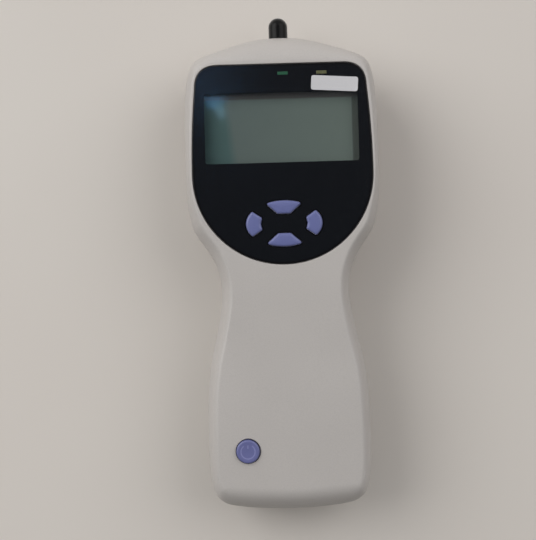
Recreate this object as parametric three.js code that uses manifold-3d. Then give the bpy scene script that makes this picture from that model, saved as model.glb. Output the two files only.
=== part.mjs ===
// Handheld tympanometer, lying on its back. Millimetres, +Z up, +Y towards the ear probe, +X to the right.
// The origin is under the middle of the whole instrument, on the surface that it lies on.
// Places along the instrument are often given as a distance from the casing's top end.
import * as THREE from 'three';
import { mergeVertices } from 'three/addons/utils/BufferGeometryUtils.js';
import Module from 'manifold-3d';

const wasm = await Module();
wasm.setup();

// Clearances
const fitGap = 0.3; // between pieces that are let into each other
const seatGap = 0.1; // between flat pieces that rest on each other
const overrun = 2; // how far a cut runs past what it cuts

// Casing
const casingLength = 191.2;
const casingDepth = 40;
const waistWidth = 51.8;
const footWidth = 66;
const widestHeightShare = 0.5; // height of the widest line round the casing, as a share of the depth
const partingDrop = 1.5; // how far the joint of the two shells lies below that line
const casingWall = 2.2;
const rimWidth = 0.5; // least flat rim round the fascia
const sideLean = 2.7; // how far the flank stands out past the front edge
const topLean = 13; // the same at the probe end, which slopes down
const footLean = 11; // the same at the foot end
const topBlend = 24; // stretch over which the top end's slope fades into the flanks
const footBlend = 22;
const padWidthShare = 0.47; // flat of the back, as a share of the outline
const padLengthShare = 0.88;
const lipDepth = 1.8; // inner lip of the front shell that closes the joint
const lipRoot = 2;
const lipThickness = 1;

// Outline of the casing's right side from the top end to the foot. Each row holds a share of the half
// width of the head, waist or foot, and a share of the casing's length from the top.
const headOutlineShares = [
  [0.2, 0.0026], [0.4, 0.0115], [0.62, 0.0262], [0.78, 0.0385], [0.875, 0.0485], [0.935, 0.067],
  [0.985, 0.118], [1, 0.19], [1, 0.285], [0.982, 0.364], [0.925, 0.4095], [0.79, 0.451],
];
const waistOutlineShares = [[1.1, 0.4735], [1.02, 0.507], [1, 0.5385], [1.02, 0.572]];
const footOutlineShares = [
  [0.868, 0.632], [0.942, 0.688], [0.985, 0.748], [1, 0.83], [0.996, 0.895], [0.965, 0.943],
  [0.9, 0.971], [0.79, 0.986], [0.6, 0.9935], [0.33, 0.998],
];

// Rise of the flank from the widest line to the front, and of the back from that line down. Each row
// holds a share of the height and the share of the lean or narrowing reached there.
const flankShares = [[0, 0], [0.5, 0.14], [0.8, 0.44], [0.95, 0.75], [1, 1]];
const backShares = [[1, 1], [0.94, 0.67], [0.78, 0.38], [0.48, 0.12]];

// Fascia and the film on it
const fasciaWidth = 71.2;
const fasciaTaper = 2.1; // how far each side draws in at the top
const fasciaFromTop = 13.8;
const fasciaCornerRadius = 9;
const fasciaThickness = 1.2;
const fasciaRecess = 0.3;
const fasciaArcSteps = 24;
const cornerSteps = 4;
const pocketFloor = 1.4;
const filmThickness = 0.1;
const filmInset = 0.8;
const tabWidth = 18.3;
const tabLength = 5.7;
const tabFromFasciaSide = 12.3;
const tabBelowFasciaTop = 8.1;
const tabTurn = THREE.MathUtils.degToRad(-3.8);
const tabCornerRadius = 1;
const tabThickness = 0.1;

// Display
const windowFromFasciaSide = 5.45;
const windowLength = 27.5;
const windowBelowFasciaTop = 10.9;
const windowCornerRadius = 1.2;
const glassMargin = 1.5;
const glassThickness = 2;
const backlightThickness = 2.8;
const frameWall = 0.8;
const frameLip = 0.3;

// Indicators
const indicatorWidth = 4.1;
const indicatorLength = 1.3;
const indicatorBelowFasciaTop = 3.5;
const greenAcross = 1;
const yellowFromFasciaSide = 17.3;
const ledWidth = 3.2;
const ledLength = 1.6;
const ledHeight = 1.6;

// Navigation keys, four pieces of an oval ring
const padBelowWindow = 23.8;
const padAboveFasciaEnd = 16;
const padHalfWidth = 15;
const padHalfLength = 9.2;
const endKeyAngle = THREE.MathUtils.degToRad(63.5); // where the upper key's outer arc ends
const sideKeyAngle = THREE.MathUtils.degToRad(33.5);
const endKeyInnerHalf = 2.45;
const endKeyInnerPlace = 3.6;
const sideKeyInnerHalf = 2.3;
const sideKeyInnerPlace = 8.6;
const sideKeyHollow = 0.6;
const keyArcSteps = 5;
const keyCornerRadius = 0.9;
const keyBevel = 0.45;
const keyProud = 0.6; // how far a key stands above the casing's front
const keyTravel = 0.6;
const keyFlangeWidth = 0.8;
const keyFlangeThickness = 0.8;
const keyStemRadius = 1.5;

// Power key
const powerKeyDiameter = 9.2;
const powerKeyFromSide = 16.25;
const powerKeyFromFoot = 26.1;

// Switches under the keys
const switchWidth = 6;
const switchHeight = 3.2;
const plungerRadius = 1.6;
const plungerProud = 1;
const plungerLength = 1.9;

// Circuit board
const boardThickness = 1.6;
const boardMargin = 1;
const boardFromTop = 12.2;
const boardFromFoot = 11;
const postRadius = 2;
const headPostAcross = 24;
const headPostBelowWindow = 9;
// Handle posts on both sides, each as a share of the waist's half width and of the casing's length
const handlePostShares = [[0.54, 0.542], [0.54, 0.781]];

// Ear probe
const capDiameter = 7.8;
const capOverhang = 9.2;
const capWall = 0.8;
const capInside = 0.6; // how far the cap's mouth reaches into the casing
const probeHoleGap = 0.4;
const coneBaseDiameter = 7.6;
const coneTipDiameter = 4.6;
const coneBaseLength = 3;
const coneInside = 4.3;
const coneWall = 0.9;
const coneShoulder = 0.6;
const coneTipRoom = 2.2; // from the cone's tip to the cap's end
const tipDiameter = 2.6;
const tipChannelDiameter = 0.9;
const gasketThickness = 1;
const spigotLength = 3;
const collarWall = 1.5;
const probeBodyWidth = 22;
const probeBodyLength = 13;
const probeBodyHeight = 15;
const nippleRadius = 1.15;
const nippleLength = 3.5;
const nippleAcross = 4.5;
const nippleRise = 4;
const speakerRadius = 4;
const speakerLength = 4.5;
const microphoneRadius = 3;
const microphoneLength = 3.5;
const cradleWidth = 12;
const cradleLength = 7;

// Air pump, across the head
const pumpFromTop = 43.2;
const pumpBaseThickness = 1.6;
const pumpBaseHeight = 6.5;
const pumpBaseLength = 26;
const pumpFootRadius = 3;
const cylinderRadius = 6.5;
const cylinderWall = 1.3;
const cylinderLength = 28;
const pumpFromSide = 8.1;
const cylinderEnd = 1.5;
const pumpAboveJoint = 0.5;
const pistonLength = 5;
const pistonGap = 0.45;
const pistonStroke = 12;
const sealSection = 0.8;
const rodWidth = 3;
const saddleLength = 4;
const saddleInset = 6; // from the cylinder's closed end to a saddle's middle
const baseInset = 2;
const toothModule = 0.8;
const pinionTeeth = 12;
const toothShare = 0.36; // tooth thickness at the pitch line, as a share of the tooth pitch
const toothTipShare = 0.8; // height of a tooth above the pitch line, as a share of the module
const toothSlope = Math.tan(THREE.MathUtils.degToRad(20));
const pinionBeyondCylinder = 8;
const pinionThickness = 3;
const shaftRadius = 1;
const motorRadius = 7.5;

// Tubes and the pressure sensor
const tubeRadius = 1.9;
const tubeGrip = 2.5; // how far a tube goes over its nipple
const tubeSides = 8;
const tubeSteps = 10;
const sensorWidth = 9;
const sensorLength = 7;
const sensorHeight = 4.6;
const sensorAcross = 20;
const sensorFromTop = 29.2;

// Battery bay, cells and door
const cellDiameter = 14.5;
const cellSides = 16;
const nubRadius = 2.6;
const nubLength = 1;
const bayFromTop = 74.7;
const bayFromFoot = 10; // leaves the length of two cells and their contacts
const bayWall = 1.2;
const contactRoom = 2.6;
const contactThickness = 0.4;
const contactWidth = 9;
const contactHeight = 10;
const springRadius = 3.4;
const springTipRadius = 2.2;
const springWire = 0.5;
const springTurns = 2.5;
const springTurnSteps = 8;
const springSides = 5;
const doorRecess = 0.25;
const doorHeadRoom = 0.6;
const doorFootRoom = 1.6;
const doorSwingGap = 0.5;
const hookReach = 1.9;
const hookRoot = 3;
const hookThickness = 1.1;
const hookMiddleWidth = 4;
const hookSideWidth = 2.4;
const latchWidth = 3;
const latchThickness = 1;
const latchHeight = 2.6;

// Screws and their bosses, two in the head and two in the foot
const headScrewFromSide = 9.9;
const headScrewFromTop = 67.2;
const footScrewFromSide = 6.5;
const footScrewFromFoot = 16;
const bossRadius = 3.2;
const screwHeadRadius = 2.5;
const screwHeadHeight = 1.8;
const screwShankRadius = 1.3;
const screwShankLength = 15;
const screwSeatHeight = 11;
const counterboreGap = 0.4;
const counterboreWall = 1.4;
const pilotRoom = 1;
const driveSlotWidth = 0.8;
const driveSlotLength = 3.6;
const driveSlotDepth = 0.9;

// Infrared window in the foot end
const infraredWidth = 12;
const infraredHeight = 5;
const infraredAboveJoint = 5;
const infraredFlange = 1;
const infraredDepth = 7; // how far the opening is cut in from the foot end
const transceiverWidth = 9;
const transceiverLength = 4;
const transceiverHeight = 4;

// Sides of round pieces
const fineSides = 24;
const coarseSides = 12;

// Worked-out sizes
const widestHeight = casingDepth * widestHeightShare;
const fasciaTopWidth = fasciaWidth - 2 * fasciaTaper;
const fasciaLength = windowBelowFasciaTop + windowLength + padBelowWindow + padAboveFasciaEnd;
const windowWidth = fasciaWidth - 2 * windowFromFasciaSide;
const headHalf = fasciaWidth / 2 + fitGap + rimWidth + sideLean;
const waistHalf = waistWidth / 2;
const footHalf = footWidth / 2;
const topEnd = (casingLength + capOverhang) / 2 - capOverhang;
const footEnd = topEnd - casingLength;
const middle = (topEnd + footEnd) / 2;
const partingHeight = widestHeight - partingDrop;
const fasciaTop = casingDepth - fasciaRecess;
const fasciaBottom = fasciaTop - fasciaThickness;
const pocketBottom = fasciaBottom - seatGap;
const ceiling = pocketBottom - pocketFloor;
const frontWall = casingDepth - ceiling;
const frameTop = ceiling - fitGap;
const glassTop = frameTop - frameLip - seatGap;
const glassBottom = glassTop - glassThickness;
const backlightTop = glassBottom - seatGap;
const backlightBottom = backlightTop - backlightThickness;
const boardTop = backlightBottom - seatGap;
const boardBottom = boardTop - boardThickness;
const windowFromTop = fasciaFromTop + windowBelowFasciaTop;
const padFromTop = windowFromTop + windowLength + padBelowWindow;
const indicatorFromTop = fasciaFromTop + indicatorBelowFasciaTop;
const probeHeight = partingHeight;
const probeHoleRadius = capDiameter / 2 + probeHoleGap;
const coneEnd = topEnd - coneInside;
const bodyFace = coneEnd - fitGap - gasketThickness;
const bodyBack = bodyFace - probeBodyLength;
const bodyMiddle = (bodyBack + bodyFace) / 2;
const bayHalf = cellDiameter + fitGap / 2 + fitGap;
const cellHeight = doorRecess + casingWall + fitGap + cellDiameter / 2;
const bayRoof = cellHeight + cellDiameter / 2 + fitGap;
const bayTopEnd = topEnd - bayFromTop;
const cellsTopEnd = bayTopEnd - contactRoom;
const bayFootEnd = footEnd + bayFromFoot;
const cellsFootEnd = bayFootEnd + contactRoom;
const cellLength = (cellsTopEnd - cellsFootEnd - fitGap) / 2;
const doorTopEdge = cellsTopEnd + doorHeadRoom;
const doorFootEdge = cellsFootEnd - doorFootRoom;
const infraredMiddle = partingHeight + infraredAboveJoint + infraredHeight / 2;
const pumpMiddle = topEnd - pumpFromTop;
const pitchRadius = (toothModule * pinionTeeth) / 2;
const toothPitch = Math.PI * toothModule;
const pinionMiddle = pumpMiddle + rodWidth / 2 + toothModule + pitchRadius;
const rackPitchLine = pinionMiddle - pitchRadius;
const boreRadius = cylinderRadius - cylinderWall;
const pistonRadius = boreRadius - pistonGap;
const cylinderClosedAcross = pumpFromSide - headHalf;
const cylinderOpenAcross = cylinderClosedAcross + cylinderLength;
const pinionAcross = cylinderOpenAcross + pinionBeyondCylinder;
const pumpAxisHeight = partingHeight + pumpAboveJoint;
const pistonStart = cylinderClosedAcross + cylinderEnd + 2 * fitGap;
const baseTop = pumpBaseHeight + pumpBaseThickness;
const pinionBottom = pumpAxisHeight - pinionThickness / 2;
const motorTop = pinionBottom - fitGap;

// Finishes, from the photograph
const finishes = {
  casing: { color: 0xe4e2de, roughness: 0.5, metalness: 0 },
  door: { color: 0xdddbd7, roughness: 0.5, metalness: 0 },
  fascia: { color: 0x0d0d10, roughness: 0.12, metalness: 0 },
  clear: { color: 0xbfcac6, roughness: 0.05, metalness: 0 },
  display: { color: 0x56635a, roughness: 0.2, metalness: 0 },
  label: { color: 0xf2f2f2, roughness: 0.6, metalness: 0 },
  key: { color: 0x7c78b0, roughness: 0.4, metalness: 0 },
  green: { color: 0x2f9a58, roughness: 0.3, metalness: 0 },
  yellow: { color: 0x8c8436, roughness: 0.3, metalness: 0 },
  black: { color: 0x141416, roughness: 0.3, metalness: 0 },
  darkPlastic: { color: 0x2a2b2e, roughness: 0.5, metalness: 0 },
  board: { color: 0x1d5a34, roughness: 0.5, metalness: 0 },
  steel: { color: 0xb8bcc0, roughness: 0.3, metalness: 1 },
  brass: { color: 0xc9a24c, roughness: 0.35, metalness: 1 },
  rubber: { color: 0x3a3a3c, roughness: 0.8, metalness: 0 },
  silicone: { color: 0xd8d6cf, roughness: 0.5, metalness: 0 },
  cell: { color: 0x3c4a86, roughness: 0.35, metalness: 0.2 },
};

const instrument = new THREE.Group();

function addPiece(name, shape, finish) {
  const geometry = shape.isBufferGeometry ? shape : geometryOf(shape);
  const mesh = new THREE.Mesh(geometry, new THREE.MeshStandardMaterial(finishes[finish]));
  mesh.name = name;
  instrument.add(mesh);
  return mesh;
}

// Solids: a closed geometry becomes a solid that can be cut and joined, and goes back to a geometry
function solidOf(geometry) {
  const bare = geometry.clone();
  bare.deleteAttribute('normal');
  bare.deleteAttribute('uv');
  const merged = mergeVertices(bare, 1e-5);
  return new wasm.Manifold(new wasm.Mesh({
    numProp: 3,
    vertProperties: new Float32Array(merged.attributes.position.array),
    triVerts: new Uint32Array(merged.index.array),
  }));
}

function geometryOf(solid) {
  const mesh = solid.getMesh();
  const geometry = new THREE.BufferGeometry();
  geometry.setAttribute('position', new THREE.BufferAttribute(new Float32Array(mesh.vertProperties), 3));
  geometry.setIndex(new THREE.BufferAttribute(new Uint32Array(mesh.triVerts), 1));
  geometry.computeVertexNormals();
  return geometry;
}

function joined(...solids) {
  return solids.reduce((whole, next) => whole.add(next));
}

function cut(body, ...tools) {
  return tools.reduce((rest, tool) => rest.subtract(tool), body);
}

// Simple bodies, each given by its limits or by its middle
function block([x0, x1], [y0, y1], [z0, z1]) {
  const box = new THREE.BoxGeometry(x1 - x0, y1 - y0, z1 - z0);
  box.translate((x0 + x1) / 2, (y0 + y1) / 2, (z0 + z1) / 2);
  return solidOf(box);
}

function around(centre, width) {
  return [centre - width / 2, centre + width / 2];
}

function barZ(x, y, radius, z0, z1, sides = coarseSides) {
  const bar = new THREE.CylinderGeometry(radius, radius, z1 - z0, sides);
  bar.rotateX(Math.PI / 2);
  bar.translate(x, y, (z0 + z1) / 2);
  return solidOf(bar);
}

function barX(y, z, radius, x0, x1, sides = coarseSides) {
  const bar = new THREE.CylinderGeometry(radius, radius, x1 - x0, sides);
  bar.rotateZ(Math.PI / 2);
  bar.translate((x0 + x1) / 2, y, z);
  return solidOf(bar);
}

function barY(x, z, radius, y0, y1, sides = coarseSides) {
  const bar = new THREE.CylinderGeometry(radius, radius, y1 - y0, sides);
  bar.translate(x, (y0 + y1) / 2, z);
  return solidOf(bar);
}

// A piece turned about a line along Y: rows hold a radius and a place along that line
function turnedY(x, z, rows, sides = fineSides) {
  const lathe = new THREE.LatheGeometry(rows.map(([radius, y]) => new THREE.Vector2(radius, y)), sides);
  lathe.translate(x, 0, z);
  return solidOf(lathe);
}

// A flat outline, given counter-clockwise, raised between two heights
function plate(points, z0, z1) {
  const shape = new THREE.Shape(points.map(([x, y]) => new THREE.Vector2(x, y)));
  const raised = new THREE.ExtrudeGeometry(shape, { depth: z1 - z0, bevelEnabled: false, curveSegments: 1 });
  raised.translate(0, 0, z0);
  return solidOf(raised);
}

// Outline work on lists of points
function grown(points, distance) {
  return points.map((point, i) => {
    const before = points[(i + points.length - 1) % points.length];
    const after = points[(i + 1) % points.length];
    const first = normalOf(before, point);
    const second = normalOf(point, after);
    const reach = distance / (1 + first[0] * second[0] + first[1] * second[1]);
    return [point[0] + (first[0] + second[0]) * reach, point[1] + (first[1] + second[1]) * reach];
  });
}

function normalOf(from, to) {
  const across = to[0] - from[0];
  const along = to[1] - from[1];
  const length = Math.hypot(across, along);
  return [along / length, -across / length];
}

function withRoundCorners(corners, radius, sharpAngle = 0.5) {
  const points = [];
  corners.forEach((corner, i) => {
    const before = corners[(i + corners.length - 1) % corners.length];
    const after = corners[(i + 1) % corners.length];
    const into = new THREE.Vector2(corner[0] - before[0], corner[1] - before[1]);
    const out = new THREE.Vector2(after[0] - corner[0], after[1] - corner[1]);
    const turn = Math.abs(Math.atan2(into.cross(out), into.dot(out)));
    if (turn < sharpAngle) {
      points.push(corner);
      return;
    }
    const tip = new THREE.Vector2(corner[0], corner[1]);
    const reach = radius * Math.tan(turn / 2);
    const start = tip.clone().addScaledVector(into.normalize(), -reach);
    const end = tip.clone().addScaledVector(out.normalize(), reach);
    const bend = new THREE.QuadraticBezierCurve(start, tip, end);
    points.push(...bend.getPoints(cornerSteps / 2).map((p) => [p.x, p.y]));
  });
  return points;
}

function circlePoints(radius, sides) {
  return Array.from({ length: sides }, (_, i) => {
    const angle = (2 * Math.PI * i) / sides;
    return new THREE.Vector2(radius * Math.cos(angle), radius * Math.sin(angle));
  });
}

function rectangle(x, y, width, length, radius) {
  const [left, right] = around(x, width);
  const [low, high] = around(y, length);
  return withRoundCorners([[left, low], [right, low], [right, high], [left, high]], radius);
}

function moved(points, x, y, turn = 0) {
  const cos = Math.cos(turn);
  const sin = Math.sin(turn);
  return points.map(([u, v]) => [x + u * cos - v * sin, y + u * sin + v * cos]);
}

// Casing outline: the rows of the right side and their mirror images, counter-clockwise from the foot end
const outline = casingOutline();
const outlineNormals = outline.map((point, i) => {
  const before = outline[(i + outline.length - 1) % outline.length];
  const after = outline[(i + 1) % outline.length];
  return normalOf(before, after);
});

function casingOutline() {
  const rightSide = [
    ...headOutlineShares.map(([across, along]) => [across * headHalf, along]),
    ...waistOutlineShares.map(([across, along]) => [across * waistHalf, along]),
    ...footOutlineShares.map(([across, along]) => [across * footHalf, along]),
  ].map(([across, along]) => [across, topEnd - along * casingLength]);
  const leftSide = rightSide.map(([x, y]) => [-x, y]);
  return [[0, footEnd], ...rightSide.slice().reverse(), [0, topEnd], ...leftSide];
}

// Fascia outline: straight top, rounded corners, slightly bowed sides and a half-round lower end
const fascia = fasciaOutline();

function fasciaOutline() {
  const top = topEnd - fasciaFromTop;
  const radius = fasciaWidth / 2;
  const arcCentre = top - fasciaLength + radius;
  const points = [];
  for (let step = 0; step <= fasciaArcSteps; step += 1) {
    const angle = Math.PI + (Math.PI * step) / fasciaArcSteps;
    points.push([radius * Math.cos(angle), arcCentre + radius * Math.sin(angle)]);
  }
  const topHalf = fasciaTopWidth / 2;
  const shoulder = top - fasciaCornerRadius;
  const bowHeight = (arcCentre + shoulder) / 2;
  const bowHalf = radius - (radius - topHalf) / 4;
  const corner = (side) => {
    const bend = new THREE.QuadraticBezierCurve(
      new THREE.Vector2(side * topHalf, shoulder),
      new THREE.Vector2(side * topHalf, top),
      new THREE.Vector2(side * (topHalf - fasciaCornerRadius), top),
    );
    return bend.getPoints(cornerSteps).map((p) => [p.x, p.y]);
  };
  points.push([bowHalf, bowHeight], ...corner(1), ...corner(-1).reverse(), [-bowHalf, bowHeight]);
  return points;
}
const fasciaRim = grown(fascia, fitGap + rimWidth);

// How far the front edge stands in from the outline at each point, short of the fascia's rim
function leanAt(i) {
  const fromTop = topEnd - outline[i][1];
  const [across, along] = outlineNormals[i];
  const topFade = 1 - THREE.MathUtils.smoothstep(fromTop, topBlend / 2, topBlend);
  const footFade = THREE.MathUtils.smoothstep(
    fromTop, casingLength - footBlend, casingLength - footBlend / 4,
  );
  const endLean = sideLean + (topLean - sideLean) * topFade + (footLean - sideLean) * footFade;
  const lean = new THREE.Vector2(across * sideLean, along * endLean);
  const direction = lean.clone().normalize().negate();
  const room = reachTo(fasciaRim, outline[i], [direction.x, direction.y]);
  return lean.clampLength(0, room);
}

// How far a line from a point runs in a direction before it meets an outline
function reachTo(points, [x, y], [across, along]) {
  const reaches = points.map(([fromX, fromY], i) => {
    const [toX, toY] = points[(i + 1) % points.length];
    const turn = across * (toY - fromY) - along * (toX - fromX);
    const share = ((fromX - x) * along - (fromY - y) * across) / turn;
    const reach = ((fromX - x) * (toY - fromY) - (fromY - y) * (toX - fromX)) / turn;
    return share >= 0 && share <= 1 && reach > 0 ? reach : Infinity;
  });
  return Math.min(...reaches);
}

// Share of the lean that the inside of the flank has reached at a height
function flankShareAt(height) {
  const heightShare = (height - widestHeight) / (ceiling - widestHeight);
  const above = flankShares.findIndex(([level]) => level >= heightShare);
  const [lowLevel, lowShare] = flankShares[above - 1];
  const [highLevel, highShare] = flankShares[above];
  return THREE.MathUtils.mapLinear(heightShare, lowLevel, highLevel, lowShare, highShare);
}

// The casing's form, drawn in by an even distance: rings of the outline from the back to the front, or
// to a lower height if fewer rows of the flank are given
function casingForm(inset, backHeight, frontHeight, flank = flankShares) {
  const rings = [];
  for (const [heightShare, share] of backShares) {
    const height = widestHeight - (widestHeight - backHeight) * heightShare;
    const across = 1 - (1 - padWidthShare) * share;
    const along = 1 - (1 - padLengthShare) * share;
    rings.push(outline.map((point, i) => {
      const x = point[0] - outlineNormals[i][0] * inset;
      const y = point[1] - outlineNormals[i][1] * inset;
      return [x * across, middle + (y - middle) * along, height];
    }));
  }
  for (const [heightShare, share] of flank) {
    const height = widestHeight + (frontHeight - widestHeight) * heightShare;
    rings.push(outline.map((point, i) => {
      const x = point[0] - outlineNormals[i][0] * inset - leans[i].x * share;
      const y = point[1] - outlineNormals[i][1] * inset - leans[i].y * share;
      return [x, y, height];
    }));
  }
  return solidOf(lofted(rings));
}

// Rings of equally many points, joined one to the next and closed by a flat cap at each end
function lofted(rings) {
  const count = rings[0].length;
  const positions = rings.flat(2);
  const indices = [];
  for (let level = 0; level < rings.length - 1; level += 1) {
    for (let i = 0; i < count; i += 1) {
      const here = level * count + i;
      const next = level * count + ((i + 1) % count);
      indices.push(here, next, next + count, here, next + count, here + count);
    }
  }
  const capOf = (ring) => THREE.ShapeUtils.triangulateShape(
    ring.map(([x, y]) => new THREE.Vector2(x, y)),
    [],
  );
  for (const [a, b, c] of capOf(rings[0])) {
    indices.push(c, b, a);
  }
  const last = (rings.length - 1) * count;
  for (const [a, b, c] of capOf(rings[rings.length - 1])) {
    indices.push(last + a, last + b, last + c);
  }
  const geometry = new THREE.BufferGeometry();
  geometry.setAttribute('position', new THREE.Float32BufferAttribute(positions, 3));
  geometry.setIndex(indices);
  return geometry;
}

// A slab that is wider than the casing, between two heights
function slab(z0, z1) {
  return block(
    around(0, 2 * headHalf + overrun),
    [footEnd - overrun, topEnd + overrun],
    [z0, z1],
  );
}

const leans = outline.map((_, i) => leanAt(i));
const outerForm = casingForm(0, 0, casingDepth);
const innerForm = casingForm(casingWall, casingWall, ceiling);
const lowFlank = flankShares.slice(0, 2); // enough of the flank for what lies near the joint
const frontPart = slab(partingHeight + fitGap / 2, casingDepth + overrun);
const rearPart = slab(-overrun, partingHeight - fitGap / 2);

// Keys
const padCentre = topEnd - padFromTop;
const ovalPoint = (angle) => [padHalfWidth * Math.cos(angle), padHalfLength * Math.sin(angle)];

function ovalArc(from, to) {
  const points = [];
  for (let step = 0; step <= keyArcSteps; step += 1) {
    points.push(ovalPoint(from + ((to - from) * step) / keyArcSteps));
  }
  return points;
}

const endKey = withRoundCorners([
  [endKeyInnerHalf, endKeyInnerPlace],
  ...ovalArc(endKeyAngle, Math.PI - endKeyAngle),
  [-endKeyInnerHalf, endKeyInnerPlace],
], keyCornerRadius);
const sideKey = withRoundCorners([
  [sideKeyInnerPlace, -sideKeyInnerHalf],
  ...ovalArc(-sideKeyAngle, sideKeyAngle),
  [sideKeyInnerPlace, sideKeyInnerHalf],
  [sideKeyInnerPlace + sideKeyHollow, 0],
], keyCornerRadius);
const powerKey = circlePoints(powerKeyDiameter / 2, fineSides).map(({ x, y }) => [x, y]);
const endKeyMiddle = (padHalfLength + endKeyInnerPlace) / 2;
const sideKeyMiddle = (padHalfWidth + sideKeyInnerPlace + sideKeyHollow) / 2;
const powerKeyPlace = [powerKeyFromSide - footHalf, footEnd + powerKeyFromFoot];
const keys = [
  { name: 'up', points: moved(endKey, 0, padCentre), middle: [0, padCentre + endKeyMiddle] },
  { name: 'down', points: moved(endKey, 0, padCentre, Math.PI), middle: [0, padCentre - endKeyMiddle] },
  { name: 'left', points: moved(sideKey, 0, padCentre, Math.PI), middle: [-sideKeyMiddle, padCentre] },
  { name: 'right', points: moved(sideKey, 0, padCentre), middle: [sideKeyMiddle, padCentre] },
  { name: 'power', points: moved(powerKey, ...powerKeyPlace), middle: powerKeyPlace },
];
const padKeys = keys.filter((key) => key.name !== 'power');

function keyHoles(from, to, list, gap = fitGap) {
  return list.map((key) => plate(grown(key.points, gap), from, to));
}

// Display window, indicators and what lies behind them
const windowMiddle = topEnd - windowFromTop - windowLength / 2;
const indicatorMiddle = topEnd - indicatorFromTop;
const indicators = [
  { name: 'green', across: greenAcross },
  { name: 'yellow', across: fasciaTopWidth / 2 - yellowFromFasciaSide },
];

function windowOutline(growth) {
  return rectangle(
    0,
    windowMiddle,
    windowWidth + 2 * growth,
    windowLength + 2 * growth,
    windowCornerRadius,
  );
}

function indicatorHoles(z0, z1, gap) {
  return indicators.map(({ across }) => block(
    around(across, indicatorWidth + 2 * gap),
    around(indicatorMiddle, indicatorLength + 2 * gap),
    [z0, z1],
  ));
}

// Screws, bosses and board posts stand on both sides of the middle
function bothSides(places) {
  return places.flatMap(([across, along]) => [[-across, along], [across, along]]);
}

// Half the casing's width at a place along it
function halfWidthAt(y) {
  const below = outline.findIndex(([, along], i) => i > 0 && along >= y);
  const [lowHalf, low] = outline[below - 1];
  const [highHalf, high] = outline[below];
  return THREE.MathUtils.mapLinear(y, low, high, lowHalf, highHalf);
}

const headScrewAlong = topEnd - headScrewFromTop;
const footScrewAlong = footEnd + footScrewFromFoot;
const screws = bothSides([
  [halfWidthAt(headScrewAlong) - headScrewFromSide, headScrewAlong],
  [halfWidthAt(footScrewAlong) - footScrewFromSide, footScrewAlong],
]);
const posts = bothSides([
  [headPostAcross, topEnd - windowFromTop - windowLength - headPostBelowWindow],
  ...handlePostShares.map(([across, along]) => [across * waistHalf, topEnd - along * casingLength]),
]);
const screwTop = screwSeatHeight + screwShankLength;

// Front shell
function frontShell() {
  const lipOuter = casingWall + fitGap;
  const lipInner = casingForm(lipOuter + lipThickness, casingWall, ceiling, lowFlank);
  const lip = cut(
    casingForm(lipOuter, casingWall, ceiling, lowFlank).intersect(
      slab(partingHeight - lipDepth, partingHeight + lipRoot),
    ),
    lipInner,
  );
  const lipJoin = cut(
    casingForm(casingWall / 2, casingWall, ceiling, lowFlank).intersect(
      slab(partingHeight + fitGap / 2, partingHeight + lipRoot),
    ),
    lipInner,
  );
  const rootHeight = ceiling + pocketFloor;
  const bosses = screws.map(([x, y]) => barZ(x, y, bossRadius, partingHeight + fitGap, rootHeight));
  const pillars = posts.map(([x, y]) => barZ(x, y, postRadius, boardTop + fitGap, rootHeight));
  const pilots = screws.map(([x, y]) => (
    barZ(x, y, screwShankRadius + fitGap, partingHeight - overrun, screwTop + pilotRoom)
  ));
  const body = joined(
    cut(outerForm.intersect(frontPart), innerForm),
    cut(joined(lip, lipJoin), collarRoom()),
    probeCollar().intersect(frontPart),
    ...bosses,
    ...pillars,
  );
  return cut(
    body,
    plate(grown(fascia, fitGap), pocketBottom, casingDepth + overrun),
    plate(windowOutline(glassMargin), ceiling - overrun, casingDepth),
    ...indicatorHoles(ceiling - overrun, casingDepth, fitGap),
    ...keyHoles(ceiling - overrun, casingDepth + overrun, keys),
    ...pilots,
    probeHole(),
    infraredHole(),
  );
}

// The probe passes through a round hole that each shell holds half of, with a collar inside
function probeHole() {
  return barY(0, probeHeight, probeHoleRadius, coneEnd - overrun, topEnd + overrun, fineSides);
}

function probeCollar() {
  const reach = [coneEnd, topEnd - casingWall / 2];
  return barY(0, probeHeight, probeHoleRadius + collarWall, ...reach, fineSides).intersect(outerForm);
}

// Room in the front shell's lip for the rear half of the collar
function collarRoom() {
  return barY(0, probeHeight, probeHoleRadius + collarWall + fitGap, coneEnd - overrun, topEnd, fineSides)
    .intersect(slab(0, partingHeight + fitGap / 2));
}

// Rear shell
function rearShell() {
  const bayEnds = [bayFootEnd - bayWall, bayTopEnd + bayWall];
  const bayBody = block(around(0, 2 * (bayHalf + bayWall)), bayEnds, [casingWall / 2, bayRoof + bayWall])
    .intersect(casingForm(casingWall / 2, casingWall / 2, ceiling));
  const bosses = screws.map(([x, y]) => (
    barZ(x, y, screwHeadRadius + counterboreGap + counterboreWall, 0, partingHeight - fitGap)
      .intersect(outerForm)
  ));
  const sinks = screws.map(([x, y]) => (
    barZ(x, y, screwHeadRadius + counterboreGap, -overrun, screwSeatHeight)
  ));
  const shankHoles = screws.map(([x, y]) => (
    barZ(x, y, screwShankRadius + counterboreGap, 0, partingHeight + overrun)
  ));
  const cradle = block(
    around(0, cradleWidth),
    around(bodyMiddle, cradleLength),
    [casingWall / 2, probeHeight - probeBodyHeight / 2 - fitGap],
  );
  const feet = pumpFeet().map(([x, y]) => (
    barZ(x, y, pumpFootRadius, 0, pumpBaseHeight - seatGap).intersect(outerForm)
  ));
  const body = joined(
    cut(outerForm.intersect(rearPart), innerForm),
    bayBody,
    cradle,
    ...bosses,
    ...feet,
  );
  return cut(
    joined(cut(body, lipRoom()), probeCollar().intersect(rearPart)),
    block(around(0, 2 * bayHalf), [bayFootEnd, bayTopEnd], [casingWall, bayRoof]),
    block(around(0, 2 * bayHalf), [doorFootEdge, doorTopEdge], [-overrun, casingWall + overrun]),
    ...sinks,
    ...shankHoles,
    probeHole(),
  );
}

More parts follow.
